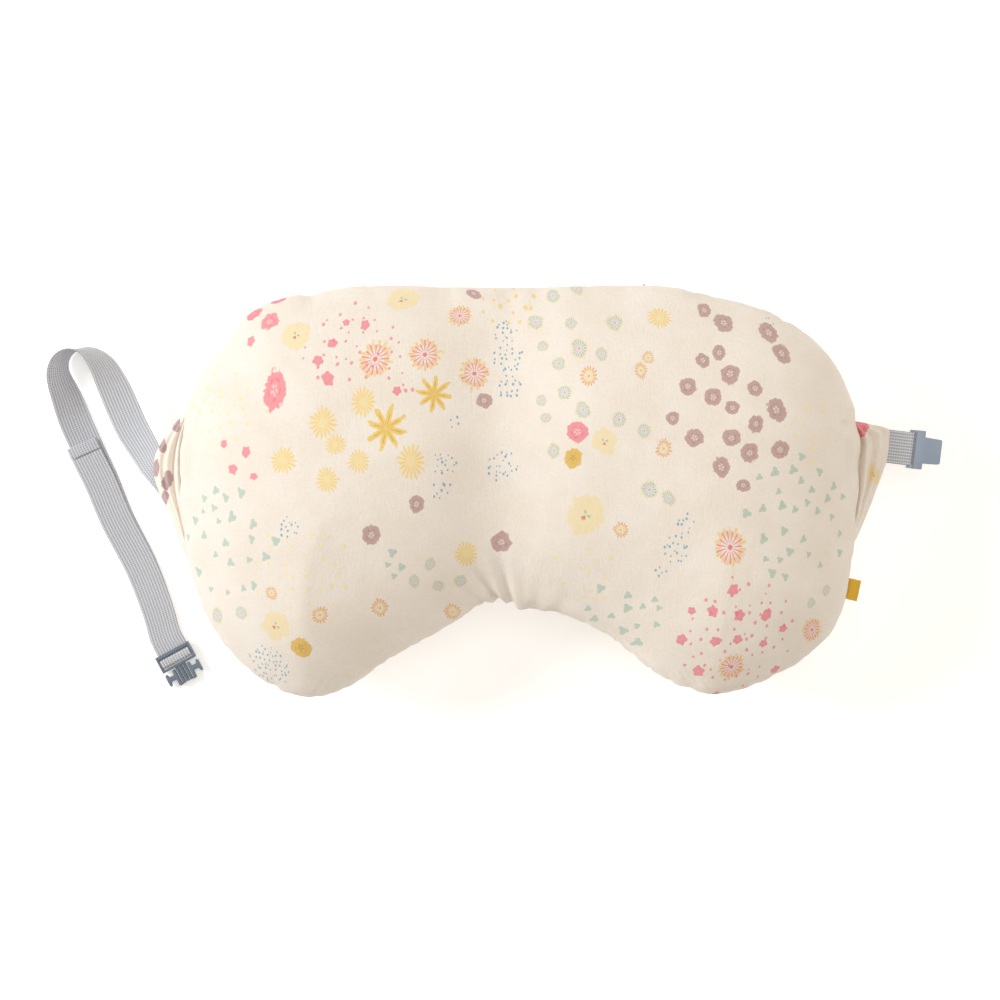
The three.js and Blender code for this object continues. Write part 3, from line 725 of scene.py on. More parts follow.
def even_line(points, count, closed=False, fine=2400):
    """Fractional indices that divide a smooth curve evenly by length, and its length."""
    end = len(points) if closed else len(points) - 1
    spots = np.linspace(0, end, fine + 1)
    places = smooth_line(points, spots, closed)
    run = np.concatenate([[0], np.cumsum(np.linalg.norm(np.diff(places, axis=0), axis=1))])
    wanted = np.linspace(0, run[-1], count + 1)
    return np.interp(wanted[:-1] if closed else wanted, run, spots), run[-1]


def seam_outline(count):
    points = np.array(OUTLINE, float) * MM
    return smooth_line(points, even_line(points, count, closed=True)[0], closed=True)


def fullness(distance):
    """0 at the seam and 1 on the crown, round like a filled bag."""
    share = np.minimum(distance / BULGE, 1)
    return (1 - (1 - share) ** 2.15) ** 0.56


def distance_to(points, line):
    """Distance from each point to a closed line of straight pieces."""
    best = np.full(len(points), 1e9)
    for a, b in zip(line, np.roll(line, -1, axis=0)):
        run = b - a
        part = np.clip((points - a) @ run / (run @ run), 0, 1)
        gap = points - a - part[:, None] * run
        best = np.minimum(best, (gap ** 2).sum(axis=1))
    return np.sqrt(best)


def seam_creases(length):
    """Puckers along the seam: place on it, half width, how far in they run, depth and slant."""
    draw = random.Random(11)
    creases = []
    place = 0.0
    while place < length:
        creases.append((
            place,
            draw.uniform(1.8, 4.2) * MM,
            draw.uniform(8, 30) * MM,
            draw.uniform(0.3, 1.3) * MM,
            draw.uniform(-0.35, 0.35),
        ))
        place += draw.uniform(10, 24) * MM
    return creases


def pucker_depth(along, inward, length, creases):
    """How far the cloth is drawn in, on a grid of places along the seam and inward from it."""
    depth = np.zeros_like(inward)
    for place, width, run, deep, slant in creases:
        gap = along - place - slant * inward
        gap = (gap + length / 2) % length - length / 2
        x = gap / (width * (1 + 1.6 * inward / run))
        ridge = 1.3 * np.exp(-x ** 2) - 0.4 * np.exp(-(x / 2.4) ** 2)
        depth += deep * ridge * np.exp(-(inward / run) ** 1.5)
    return depth


def fold_depth(points, folds):
    """How far the cloth is drawn in by folds that run from one place to another."""
    depth = np.zeros(len(points))
    for start, end, width, deep in folds:
        start, end = np.array(start) * MM, np.array(end) * MM
        run = end - start
        part = np.clip(((points - start) @ run) / (run @ run), 0, 1)
        away = np.linalg.norm(points - start - part[:, None] * run, axis=1)
        across = width * MM * (1 + 0.8 * part)
        depth += deep * MM * (1 - 0.8 * part) ** 1.2 * np.exp(-(away / across) ** 2)
    return depth


def lumps(points, seed, size):
    """Soft unevenness of the filling, from a few waves in random directions, about -1 to 1."""
    draw = random.Random(seed)
    total = np.zeros(len(points))
    for _ in range(9):
        angle = draw.uniform(0, math.tau)
        wave = math.tau / (size * draw.uniform(0.6, 1.6))
        direction = np.array([math.cos(angle), math.sin(angle)])
        total += np.sin(points @ direction * wave + draw.uniform(0, math.tau))
    return total / 4.5


def grid_normals(grid):
    """Outward normals of a grid of rings by places round them, upper side up."""
    around = np.roll(grid, -1, axis=1) - np.roll(grid, 1, axis=1)
    inward = np.gradient(grid, axis=0)
    normals = np.cross(around, inward)
    return normals / (np.linalg.norm(normals, axis=2, keepdims=True) + 1e-12)


def shaped_panel(outline, upper):
    """One panel: its rings of places, outward normals, middle, flat places and cloth places."""
    around = len(outline)
    shares = np.cos(np.linspace(0, math.pi / 2, RINGS + 1)[:-1])
    flat = CENTRE + shares[:, None, None] * (outline - CENTRE)[None]
    spots = flat.reshape(-1, 2)
    far = distance_to(spots, outline[::5])
    far[:around] = 0
    full = fullness(far)
    soft = np.clip(far / (40 * MM), 0, 1)
    if upper:
        valley = 1 - VALLEY_DEPTH * np.exp(-((spots[:, 0] - VALLEY_X) / VALLEY_WIDTH) ** 2)
        height = SEAM_Z + CROWN * full * valley + LUMP_HEIGHT * lumps(spots, 3, LUMP_SIZE) * soft
    else:
        height = SEAM_Z - BELLY * full
        height = FLOOR_SOFTNESS * np.logaddexp(0, height / FLOOR_SOFTNESS)
        height = np.maximum(height - 0.2 * MM, 0)
        height[:around] = SEAM_Z
    grid = np.dstack([flat, height.reshape(RINGS, around)])
    normals = grid_normals(grid) * (1 if upper else -1)
    side = np.roll(outline, -1, axis=0) - np.roll(outline, 1, axis=0)
    side /= np.linalg.norm(side, axis=1, keepdims=True)
    normals[0] = np.column_stack([side[:, 1], -side[:, 0], np.zeros(around)])
    steps = np.linalg.norm(np.roll(outline, -1, axis=0) - outline, axis=1)
    along = np.broadcast_to(np.concatenate([[0], np.cumsum(steps)[:-1]]), (RINGS, around))
    runs = np.linalg.norm(np.diff(grid, axis=0), axis=2)
    inward = np.vstack([np.zeros((1, around)), np.cumsum(runs, axis=0)])
    length = steps.sum()
    depth = pucker_depth(along, inward, length, seam_creases(length))
    depth += fold_depth(spots, FOLDS).reshape(RINGS, around)
    # The zip holds the rear wall straight.
    zipped = np.clip((ZIP_HALF + 30 * MM - np.abs(flat[:, :, 0])) / (24 * MM), 0, 1)
    zipped *= np.clip((flat[:, :, 1] - 0.10) / 0.05, 0, 1)
    zipped = zipped ** 2 * (3 - 2 * zipped)
    depth *= 1 - 0.9 * zipped * np.exp(-(inward / (20 * MM)) ** 4)
    overhang = OVERHANG + (ZIP_COVER * zipped if upper else 0)
    depth -= overhang * np.exp(-((inward - 24 * MM) / (14 * MM)) ** 2)
    if not upper:
        depth *= np.clip(grid[:, :, 2] / (20 * MM), 0, 1) ** 1.5
    grid = grid - normals * depth[:, :, None]
    middle = np.append(CENTRE, height[-around:].mean())
    # The cloth's own places run out from the middle by the distance over the surface.
    over = inward[-1:] - inward + np.linalg.norm(grid[-1] - middle, axis=1)[None]
    direction = (outline - CENTRE) / np.linalg.norm(outline - CENTRE, axis=1, keepdims=True)
    cloth = CENTRE + direction[None] * over[:, :, None]
    return {"grid": grid, "normals": normals, "middle": middle, "flat": flat, "cloth": cloth}


def cloth_place(panel, x, y):
    """The cloth's own place, in millimetres, of a point seen from above on the panel."""
    gaps = np.linalg.norm(panel["flat"] - np.array([x, y]) * MM, axis=2)
    return panel["cloth"][np.unravel_index(gaps.argmin(), gaps.shape)] / MM


def cloth_shell(name, panel, upper):
    """A closed shell: the panel's surface, and a plainer one behind it by the cover's thickness."""
    grid, cloth, middle = panel["grid"], panel["cloth"], panel["middle"]
    rings, around = grid.shape[:2]
    skip, hop = 8, 6
    back = grid[::hop, ::skip] - panel["normals"][::hop, ::skip] * COVER_WALL
    back_cloth = cloth[::hop, ::skip]
    back_rings, back_around = back.shape[:2]
    sign = 1 if upper else -1
    back_middle = middle - np.array([0, 0, sign * COVER_WALL])
    points = np.vstack([grid.reshape(-1, 3), middle, back.reshape(-1, 3), back_middle])
    heart = cloth[-1].mean(axis=0)
    uvs = np.vstack([cloth.reshape(-1, 2), heart, back_cloth.reshape(-1, 2), heart])
    faces = ring_faces(rings, around, 0)
    first = rings * around + 1
    faces += [face[::-1] for face in ring_faces(back_rings, back_around, first)]
    for i in range(around):
        near = first + ((i + skip // 2) // skip) % back_around
        faces.append(((i + 1) % around, i, near))
        if i % skip == skip // 2 - 1:
            following = first + ((i + 1 + skip // 2) // skip) % back_around
            faces.append((near, following, (i + 1) % around))
    if not upper:
        faces = [face[::-1] for face in faces]
    return new_object(name, points, faces, uvs)


def ring_faces(rings, around, first):
    """Quads between the rings, and a fan of triangles to the point after them."""
    faces = []
    for ring in range(rings - 1):
        here, there = first + ring * around, first + (ring + 1) * around
        for i in range(around):
            following = (i + 1) % around
            faces.append((here + i, here + following, there + following, there + i))
    middle = first + rings * around
    last = middle - around
    return faces + [(last + i, last + (i + 1) % around, middle) for i in range(around)]


def add_cover(top, base, finish, motifs):
    cover_top = cloth_shell("cover_top", top, True)
    lay_print(cover_top, motifs)
    finish_piece(cover_top, "cushion", "printed_cotton", finish, "cover_upper_panel")
    cover_base = cloth_shell("cover_base", base, False)
    lay_print(cover_base, motifs)
    cut_window(cover_base)
    finish_piece(cover_base, "cushion", "printed_cotton", finish, "cover_lower_panel")


def cut_window(panel):
    """Cuts the zip's opening through the rear wall of the lower panel."""
    bpy.ops.object.select_all(action="DESELECT")
    bpy.ops.mesh.primitive_cube_add(size=1, location=WINDOW_PLACE)
    cutter = bpy.context.object
    cutter.scale = WINDOW_SIZE
    window = panel.modifiers.new("zip_window", "BOOLEAN")
    window.object = cutter
    window.operation = "DIFFERENCE"
    window.solver = "EXACT"
    apply_modifiers(panel)
    bpy.data.objects.remove(cutter)
    panel.data.shade_smooth()


def add_liner(top, base, finish):
    """The stuffed inner bag, blown up by its filling, with how far it swells held to a limit."""
    step, hop = 20, 6
    upper = top["grid"][::hop, ::step] - top["normals"][::hop, ::step] * LINER_DEPTH
    lower = base["grid"][hop::hop, ::step] - base["normals"][hop::hop, ::step] * LINER_DEPTH
    rings, around = upper.shape[:2]
    raised = top["middle"] - np.array([0, 0, LINER_DEPTH])
    sunk = base["middle"] + np.array([0, 0, LINER_DEPTH])
    points = np.vstack([upper.reshape(-1, 3), raised, lower.reshape(-1, 3), sunk])
    faces = ring_faces(rings, around, 0)
    first = rings * around + 1
    faces += [face[::-1] for face in ring_faces(rings - 1, around, first)]
    for i in range(around):
        following = (i + 1) % around
        faces.append((following, i, first + i, first + following))
    bag = new_object("filled_liner", points, faces)
    remesh = bag.modifiers.new("even_mesh", "REMESH")
    remesh.mode = "VOXEL"
    remesh.voxel_size = LINER_GRAIN
    apply_modifiers(bag)
    blow_up(bag)
    smoother = bag.modifiers.new("smooth_cloth", "SUBSURF")
    smoother.levels = 1
    smoother.render_levels = 1
    apply_modifiers(bag)
    bag.data.shade_smooth()
    finish_piece(bag, "cushion", "liner_cloth", finish)
    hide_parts("liner_upper_panel", "liner_lower_panel", "fibre_filling")


def blow_up(bag):
    """Lets the filling's pressure round the bag, with no point moved further than its swell."""
    count = len(bag.data.vertices)
    start = np.empty(count * 3, np.float32)
    bag.data.vertices.foreach_get("co", start)
    cloth = bag.modifiers.new("pressure", "CLOTH")
    cloth.settings.use_pressure = True
    cloth.settings.uniform_pressure_force = 4
    cloth.settings.effector_weights.gravity = 0
    cloth.settings.quality = 4
    scene = bpy.context.scene
    for frame_number in range(1, 21):
        scene.frame_set(frame_number)
    shown = bag.evaluated_get(bpy.context.evaluated_depsgraph_get())
    end = np.empty(count * 3, np.float32)
    shown.data.vertices.foreach_get("co", end)
    bag.modifiers.remove(cloth)
    scene.frame_set(1)
    move = (end - start).reshape(-1, 3)
    far = np.linalg.norm(move, axis=1, keepdims=True)
    move *= np.minimum(1, LINER_SWELL / np.maximum(far, 1e-9))
    bag.data.vertices.foreach_set("co", start + move.ravel())
    bag.data.update()


# ---------------------------------------------------------------- gathered wings

WING_ROWS = 96
WING_COLUMNS = 44
TUCK_IN = 13 * MM  # how far inside the seam a wing starts, hidden in the cushion
TUCK_RISE = 28 * MM
TUCK_FALL = 15 * MM
LEFT_EDGE = [
    (-293, 73), (-309, 58), (-322, 42), (-328, 30), (-329, 16), (-326, 5), (-320, -8),
    (-313, -19), (-303, -44), (-297, -58), (-288, -68),
]
RIGHT_EDGE = [
    (305, 62), (321, 59), (336, 55), (337, 44), (336, 33), (333, 21), (326, 2), (318, -18),
    (308, -40), (300, -54),
]
# Folds of a wing, running along it: share of the way out, half width in shares, height, wander.
LEFT_FOLDS = [
    (0.26, 0.05, -3.6, 0.02), (0.35, 0.05, 3.4, 0.03), (0.47, 0.05, -7.0, 0.03),
    (0.58, 0.05, 4.6, 0.04), (0.70, 0.05, -3.6, 0.04), (0.84, 0.05, 1.8, 0.03),
]
RIGHT_FOLDS = [
    (0.30, 0.08, -9.0, 0.02), (0.45, 0.07, 4.4, 0.03), (0.57, 0.05, -3.6, 0.05),
    (0.70, 0.06, 2.0, 0.05), (0.84, 0.05, -1.2, 0.04),
]


def wing(name, outline, side, span, edge, tip_z, reach, folds, motifs, finish, *nodes):
    """A folded flap of cover cloth, sewn in at the seam and drawn together round the webbing."""
    shares = np.linspace(0, 1, WING_ROWS)
    on_side = outline[np.abs(outline[:, 0]) > 0.25]
    on_side = on_side[np.sign(on_side[:, 0]) == side]
    on_side = on_side[np.argsort(on_side[:, 1])]
    root_y = (span[0] + (span[1] - span[0]) * shares) * MM
    root_x = np.interp(root_y, on_side[:, 1], on_side[:, 0]) - side * 0.5 * MM
    sewn = np.column_stack([root_x, root_y])
    window = np.sin(math.pi * np.clip(shares, 0.001, 0.999)) ** 0.5
    root = sewn - np.column_stack([side * TUCK_IN * window, np.zeros(WING_ROWS)])
    tip = smooth_line(np.array(edge, float) * MM, shares * (len(edge) - 1))
    out = np.linspace(0, 1, WING_COLUMNS)
    flat = root[:, None] + (tip - root)[:, None] * out[None, :, None]
    inside = np.linalg.norm(flat - root[:, None], axis=2)
    far = np.clip(inside - TUCK_IN * window[:, None], 0, None)
    middle = SEAM_Z + (tip_z * MM - SEAM_Z) * np.minimum(far / (reach * MM), 1)
    wide = np.linalg.norm(tip - sewn, axis=1)[:, None] / (reach * MM)
    rise = TUCK_RISE * window[:, None] * np.exp(-inside / TUCK_FALL)
    lift = np.zeros_like(far)
    for place, width, height, wander in folds:
        bent = place + wander * np.sin(5 * shares + 9 * place)[:, None]
        lift += height * MM * np.exp(-((out[None] - bent) / width) ** 2) * np.minimum(wide, 1)
    parting = (3.2 - 1.4 * out[None]) * MM * np.minimum(1, 0.4 + wide)
    closing = np.sqrt(np.clip((1 - out[None]) * 14, 0, 1))
    upper = np.dstack([flat, middle + lift + rise + parting * closing])
    lower = np.dstack([flat, middle + lift * 0.6 - parting * closing])
    rows, columns = far.shape
    points = np.vstack([upper.reshape(-1, 3), lower.reshape(-1, 3)])
    cloth = np.dstack([flat[:, :, 0], flat[:, :, 1] + WING_PRINT])
    uvs = np.vstack([cloth.reshape(-1, 2), cloth.reshape(-1, 2) + (0, 0.3)])
    faces = []
    for i in range(rows - 1):
        for j in range(columns - 1):
            a, b = i * columns + j, (i + 1) * columns + j
            faces.append((a, a + 1, b + 1, b))
            a, b = a + rows * columns, b + rows * columns
            faces.append((a, b, b + 1, a + 1))
    rim = [i * columns for i in range(rows)]
    rim += [(rows - 1) * columns + j for j in range(1, columns)]
    rim += [i * columns + columns - 1 for i in range(rows - 2, -1, -1)]
    rim += [j for j in range(columns - 2, 0, -1)]
    for a, b in zip(rim, rim[1:] + rim[:1]):
        faces.append((a, b, b + rows * columns, a + rows * columns))
    flap = new_object(name, points, faces, uvs)
    outward(flap)
    lay_print(flap, motifs)
    finish_piece(flap, "cushion", "printed_cotton", finish, *nodes)


def outward(piece):
    """Turns a closed piece's faces outward."""
    shell = bmesh.new()
    shell.from_mesh(piece.data)
    bmesh.ops.remove_doubles(shell, verts=shell.verts, dist=1e-7)
    bmesh.ops.recalc_face_normals(shell, faces=shell.faces)
    shell.to_mesh(piece.data)
    shell.free()
    piece.data.update()


# ---------------------------------------------------------------- webbing

# Where the long strap runs, in millimetres, with its roll in degrees: out of the left wing,
# over on its edge round the bend, and turned over down to the buckle.
LONG_ROUTE = [
    (-329.4, 21.5, 59.6, -26), (-339, 36, 50, -16), (-353.6, 57.4, 38.5, 0),
    (-365, 79, 29.5, 12), (-375, 99, 22.5, 27), (-386, 118, 18.2, 47), (-400, 130.5, 16.2, 70),
    (-414, 131.5, 15.9, 90), (-424, 124, 15.6, 106), (-427.5, 112, 14.8, 120),
    (-425.5, 101, 13, 133), (-420.5, 87, 9.9, 147), (-412.5, 63, 5.2, 166), (-401, 36, 2, 177),
    (-388, 8, 1.1, 180), (-373.5, -28, 1, 180), (-352, -71, 1, 180), (-337.5, -110, 1, 180),
]
IN_WING = (-320, 10, 61, -24)
PLUG_PLACE = (-322.8 * MM, -150 * MM, 0.0)
PLUG_TURN = math.radians(-61.6)
# Round the plug's middle bar, in the plug's own length and height, in millimetres.
PLUG_ROUTE = [
    (-16, 1), (-6, 1), (4, 1), (10.6, 1.1), (12, 2.4), (12.3, 4.4), (12.3, 6), (11.4, 7.8),
    (8.5, 8.1), (5.5, 7.8), (4.6, 6.2), (4.6, 4.6),
]
SOCKET_PLACE = (359.8 * MM, 36.6 * MM, 81 * MM)
SOCKET_TURN = math.radians(-7)
BAR_U = -3.7
MITRE = (0.0, -1.2, 0.0)  # the webbing starts slanting, inside the wing
MITRED = 9
TURNING = 18  # stations over which the webbing turns square to the plug
LONG_STATIONS = 190
TAIL_STATIONS = 70
LAYER_RISE = 1.8 * MM
TAIL_START_U = 4
TAIL_LENGTH = 217 * MM
HEM_LENGTH = 11 * MM


def at_buckle(origin, turn, u, v, w):
    """The scene's place of a point in a buckle half's own length, width and height."""
    c, s = math.cos(turn), math.sin(turn)
    x, y, z = origin
    return (x + (u * c - v * s) * MM, y + (u * s + v * c) * MM, z + w * MM)


def at_plug(u, v, w):
    return at_buckle(PLUG_PLACE, PLUG_TURN, u, v, w)


def at_socket(u, v, w):
    return at_buckle(SOCKET_PLACE, SOCKET_TURN, u, v, w)


def tangents(points):
    along = np.gradient(points, axis=0)
    return along / np.linalg.norm(along, axis=1, keepdims=True)


def unit(vectors):
    return vectors / np.linalg.norm(vectors, axis=-1, keepdims=True)


def rolled_stations(route, spots):
    """Centres, directions across and face normals along a rolled route."""
    places = smooth_line(np.array(route, float), spots)
    centres = places[:, :3] * MM
    roll = np.radians(places[:, 3:])
    along = tangents(centres)
    left = unit(np.cross((0, 0, 1), along))
    lift = unit(np.cross(along, left))
    across = left * np.cos(roll) + lift * np.sin(roll)
    normals = lift * np.cos(roll) - left * np.sin(roll)
    return centres, across, normals


def loop_stations(route, count, place):
    """Centres, directions across and face normals of a loop in a buckle's own upright plane."""
    spots = even_line(np.array(route, float), count)[0]
    flat = smooth_line(np.array(route, float), spots)
    centres = np.array([place(u, 0, w) for u, w in flat])
    origin = np.array(place(0, 0, 0))
    side = unit(np.array(place(0, 1, 0)) - origin)
    across = np.tile(side, (len(flat), 1))
    return centres, across, unit(np.cross(tangents(centres), across))


RIB_STEPS = 5


def webbing(name, stations, width=WEB_WIDTH, thick=WEB_THICK, start=0.0):
    """Ribbed webbing along its stations, closed at both ends, and the line of its centres."""
    centres, across, normals = stations
    side = np.linspace(-0.5, 0.5, RIBS * RIB_STEPS + 1)
    rib = 0.10 * MM * (np.cos(side * RIBS * math.tau) - 1)
    edge = np.clip((0.5 - np.abs(side)) / 0.025, 0, 1) ** 0.5
    height = (thick / 2 + rib) * (0.35 + 0.65 * edge)
    profile = np.concatenate([
        np.column_stack([side * width, height]),
        np.column_stack([side[::-1] * width, -height[::-1]]),
    ])
    run = np.concatenate([[0], np.cumsum(np.linalg.norm(np.diff(centres, axis=0), axis=1))])
    points = (
        centres[:, None]
        + across[:, None] * profile[None, :, :1]
        + normals[:, None] * profile[None, :, 1:]
    )
    rows, columns = points.shape[:2]
    cloth = np.dstack([
        np.broadcast_to(profile[:, 0], (rows, columns)),
        np.broadcast_to((start + run)[:, None], (rows, columns)),
    ])
    faces = tube_faces(rows, columns)
    ribbon = new_object(name, points.reshape(-1, 3), faces, cloth.reshape(-1, 2))
    outward(ribbon)
    return ribbon, [tuple(centre) for centre in centres.tolist()], run[-1]


def full_route():
    u, w = PLUG_ROUTE[0]
    x, y, z = at_plug(u, 0, w)
    return [IN_WING] + LONG_ROUTE + [(x / MM, y / MM, z / MM, 180)]


def add_straps(finish):
    route = full_route()
    places = np.array(route, float)[:, :3]
    spots, long_run = even_line(places, LONG_STATIONS)
    flat = rolled_stations(route, spots)
    for i in range(MITRED):
        share = i / MITRED
        flat[1][i] = flat[1][i] * share + np.array(MITRE) * (1 - share)
    loop = loop_stations(PLUG_ROUTE, 60, at_plug)
    loop = (loop[0], -loop[1], -loop[2])
    turn_in = np.linspace(0, 1, TURNING)[:, None]
    flat[1][-TURNING:] = unit(flat[1][-TURNING:] * (1 - turn_in) + loop[1][:1] * turn_in)
    joined = tuple(np.concatenate([a[:-1], b]) for a, b in zip(flat, loop))
    strap, path, length = webbing("long_strap_webbing", joined)
    finish_piece(strap, "cushion", "webbing", finish, "long_strap")
    back = TAIL_LENGTH / MM - TAIL_START_U + PLUG_ROUTE[0][0]
    run_at = np.linspace(0, long_run, LONG_STATIONS + 1)

    def above(distances, layers, drift):
        places = np.interp(long_run - distances, run_at, spots)
        centres, across, normals = rolled_stations(route, places)
        centres = centres - normals * layers * LAYER_RISE + across * (drift * MM)[:, None]
        return centres, across, normals

    hem_run = HEM_LENGTH / MM
    distances = np.linspace(0, back - hem_run, TAIL_STATIONS)
    centres, across, normals = above(distances, 1, np.linspace(0.8, -3, TAIL_STATIONS))
    near = np.array([at_plug(u, 0, 1 + LAYER_RISE / MM) for u in (4, 1, -2, -6, -10)])
    side = unit(np.array(at_plug(0, 1, 0)) - np.array(at_plug(0, 0, 0)))
    across[:TURNING] = unit(side * (1 - turn_in) + across[:TURNING] * turn_in)
    stations = (
        np.vstack([near, centres]),
        np.vstack([np.tile(side, (5, 1)), across]),
        np.vstack([np.tile((0.0, 0.0, -1.0), (5, 1)), normals]),
    )
    tail, tail_path, tail_run = webbing("strap_tail_webbing", stations)
    finish_piece(tail, "cushion", "webbing", finish, "strap_tail")
    distances = np.linspace(back - hem_run + 0.2, back, 9)
    hem = webbing("strap_tail_folded_hem", above(distances, 1.3, np.full(9, -3.0)), WEB_WIDTH,
                  2 * WEB_THICK, tail_run)[0]
    finish_piece(hem, "cushion", "webbing", finish, "strap_tail_hem")
    plug = add_plug()


def add_short_strap(finish):
    bar = [(BAR_U + 2.35 * math.cos(a), 2.35 * math.sin(a)) for a in np.radians([90, 60, 30, 0])]
    bar += [(u, -w) for u, w in bar[-2::-1]]
    top = [(u, 0.85 + 1.5 * max(0, (u + 12) / 12) ** 2) for u in (-36, -28, -20, -14, -9)]
    route = top + bar + [(u, -w) for u, w in top[::-1]]
    strap = webbing("short_strap_webbing", loop_stations(route, 90, at_socket))[0]
    finish_piece(strap, "cushion", "webbing", finish, "short_strap")


# ---------------------------------------------------------------- hard parts

SMOOTH_ANGLE = math.radians(35)
TEETH = 14
TOOTH_PITCH = 2.2
TOOTH_SIZE = (2.2 * MM, 1.0 * MM, 1.5 * MM)


def merged_copy(node, name, bevel):
    """A copy of a CAD node with its triangles joined and its edges rounded."""
    mesh = NODES[node].data.copy()
    mesh.name = name
    piece = bpy.data.objects.new(name, mesh)
    bpy.context.scene.collection.objects.link(piece)
    select_alone(piece)
    bpy.ops.object.mode_set(mode="EDIT")
    bpy.ops.mesh.select_all(action="SELECT")
    bpy.ops.mesh.remove_doubles(threshold=0.00001)
    bpy.ops.mesh.dissolve_limited(angle_limit=math.radians(2))
    bpy.ops.object.mode_set(mode="OBJECT")
    edges = piece.modifiers.new("rounded_edges", "BEVEL")
    edges.width = bevel * MM
    edges.segments = 3
    edges.limit_method = "ANGLE"
    edges.angle_limit = SMOOTH_ANGLE
    edges.use_clamp_overlap = True
    apply_modifiers(piece)
    piece.select_set(True)
    bpy.ops.object.shade_smooth_by_angle(angle=SMOOTH_ANGLE)
    piece.select_set(False)
    return piece


def block(name, centre, size, bevel, turn=0.0):
    """A box with rounded edges, with its place in its mesh."""
    bpy.ops.object.select_all(action="DESELECT")
    bpy.ops.mesh.primitive_cube_add(size=1, location=centre, rotation=(0, 0, turn))
    piece = bpy.context.object
    piece.name = name
    piece.scale = size
    bpy.ops.object.transform_apply(location=True, rotation=True, scale=True)
    edges = piece.modifiers.new("rounded_edges", "BEVEL")
    edges.width = bevel
    edges.segments = 2
    apply_modifiers(piece)
    return piece


def joined(name, pieces):
    select_alone(*pieces)
    bpy.ops.object.join()
    whole = bpy.context.object
    whole.name = name
    bpy.ops.object.shade_smooth_by_angle(angle=SMOOTH_ANGLE)
    whole.select_set(False)
    return whole


def add_plug():
    plastic = moulded_plastic("plug_plastic", "667280", 0.34)
    frame_piece = merged_copy("buckle_plug_frame", "plug_frame", 0.45)
    finish_piece(frame_piece, "cushion", "buckle_plastic", plastic, "buckle_plug_frame")
    teeth = []
    for i in range(TEETH):
        spot = at_plug(3.4, -14.3 + i * TOOTH_PITCH, 7.45)
        teeth.append(block("tooth", spot, TOOTH_SIZE, 0.2 * MM, PLUG_TURN))
    teeth = joined("plug_grip_teeth", teeth)
    finish_piece(teeth, "cushion", "buckle_plastic", plastic)
    arms = []
    for side in ("left", "right"):
        arm = merged_copy(f"buckle_plug_{side}_arm", f"plug_{side}_arm", 0.45)
        finish_piece(arm, f"plug_{side}_arm", "buckle_plastic", plastic, f"buckle_plug_{side}_arm")
        arms.append(arm)
    return [frame_piece, teeth, *arms]


def add_socket():
    plastic = moulded_plastic("socket_plastic", "8a97a8", 0.36)
    socket = merged_copy("buckle_socket", "socket_housing", 0.5)
    finish_piece(socket, "socket", "buckle_plastic", plastic, "buckle_socket")


# ---------------------------------------------------------------- zip and label

ZIP_HALF = 136 * MM
ZIP_Z = 71 * MM
COIL_HALF = 129 * MM
COIL_PITCH = 1.5 * MM
COIL_Y = 180.8 * MM
TAPE_Y = 179.2 * MM
STITCH_Y = 181.6 * MM
STITCH_PITCH = 3.02 * MM
WINDOW_PLACE = (0, 0.175, ZIP_Z)
WINDOW_SIZE = (2 * ZIP_HALF, 0.030, 14 * MM)
WING_PRINT = 1.0  # the wings' places in the print lie this far up from the panels'


def add_zip(tape_finish, coil_finish, metal, thread):
    for part, low, coil_z, hand in (("upper", 71.4, 72.05, 1), ("lower", 64.4, 69.95, -1)):
        centre = (0, TAPE_Y, (low + 3.1) * MM)
        tape = block(f"zip_{part}_woven_tape", centre, (0.271, 0.8 * MM, 6.2 * MM), 0.15 * MM)
        finish_piece(tape, "cushion", "zip_tape", tape_finish, f"zip_{part}_tape")
        coil = coil_turns(f"zip_{part}_coil_turns", coil_z * MM, hand)
        finish_piece(coil, "cushion", "zip_coil", coil_finish, f"zip_{part}_coil")
    for part in ("top", "bottom"):
        stop = merged_copy(f"zip_{part}_stop", f"zip_{part}_stop_clip", 0.3)
        finish_piece(stop, "cushion", "zip_metal", metal, f"zip_{part}_stop")
    slider = merged_copy("zip_slider", "zip_slider_body", 0.3)
    finish_piece(slider, "slider", "zip_metal", metal, "zip_slider")
    tab = merged_copy("zip_pull_tab", "zip_pull", 0.25)
    finish_piece(tab, "pull_tab", "zip_metal", metal, "zip_pull_tab")
    stitches = []
    for height in (62.2, 79.0):
        stitches += stitch_row((-ZIP_HALF, STITCH_Y, height * MM), (1, 0, 0), 90, STITCH_PITCH)
    row = stitch_piece("zip_topstitching", stitches)
    finish_piece(row, "cushion", "printed_cotton", thread)


def coil_turns(name, height, hand):
    """One side of the zip's coil: a flattened spiral of wire."""
    turns = 2 * COIL_HALF / COIL_PITCH
    angle = np.linspace(0, math.tau * turns, int(turns * 9))
    line = np.column_stack([
        -COIL_HALF + COIL_PITCH * angle / math.tau,
        COIL_Y + 0.6 * MM * np.sin(angle),
        height + hand * 0.62 * MM * np.cos(angle),
    ])
    return wire(name, line, 0.26 * MM, 5)


def wire(name, line, radius, sides):
    """A round wire along a line, closed at both ends."""
    along = tangents(line)
    first = unit(np.cross(along, (0, 0.31, 0.95)))
    second = np.cross(along, first)
    turn = np.arange(sides) / sides * math.tau
    ring = (
        first[:, None] * np.cos(turn)[None, :, None]
        + second[:, None] * np.sin(turn)[None, :, None]
    )
    points = (line[:, None] + ring * radius).reshape(-1, 3)
    piece = new_object(name, points, tube_faces(len(line), sides))
    outward(piece)
    return piece


def stitch_row(start, direction, count, pitch):
    """Middles and directions of a row of stitches."""
    start, direction = np.array(start, float), np.array(direction, float)
    return [(start + direction * pitch * (i + 0.5), direction, pitch * 0.72) for i in range(count)]


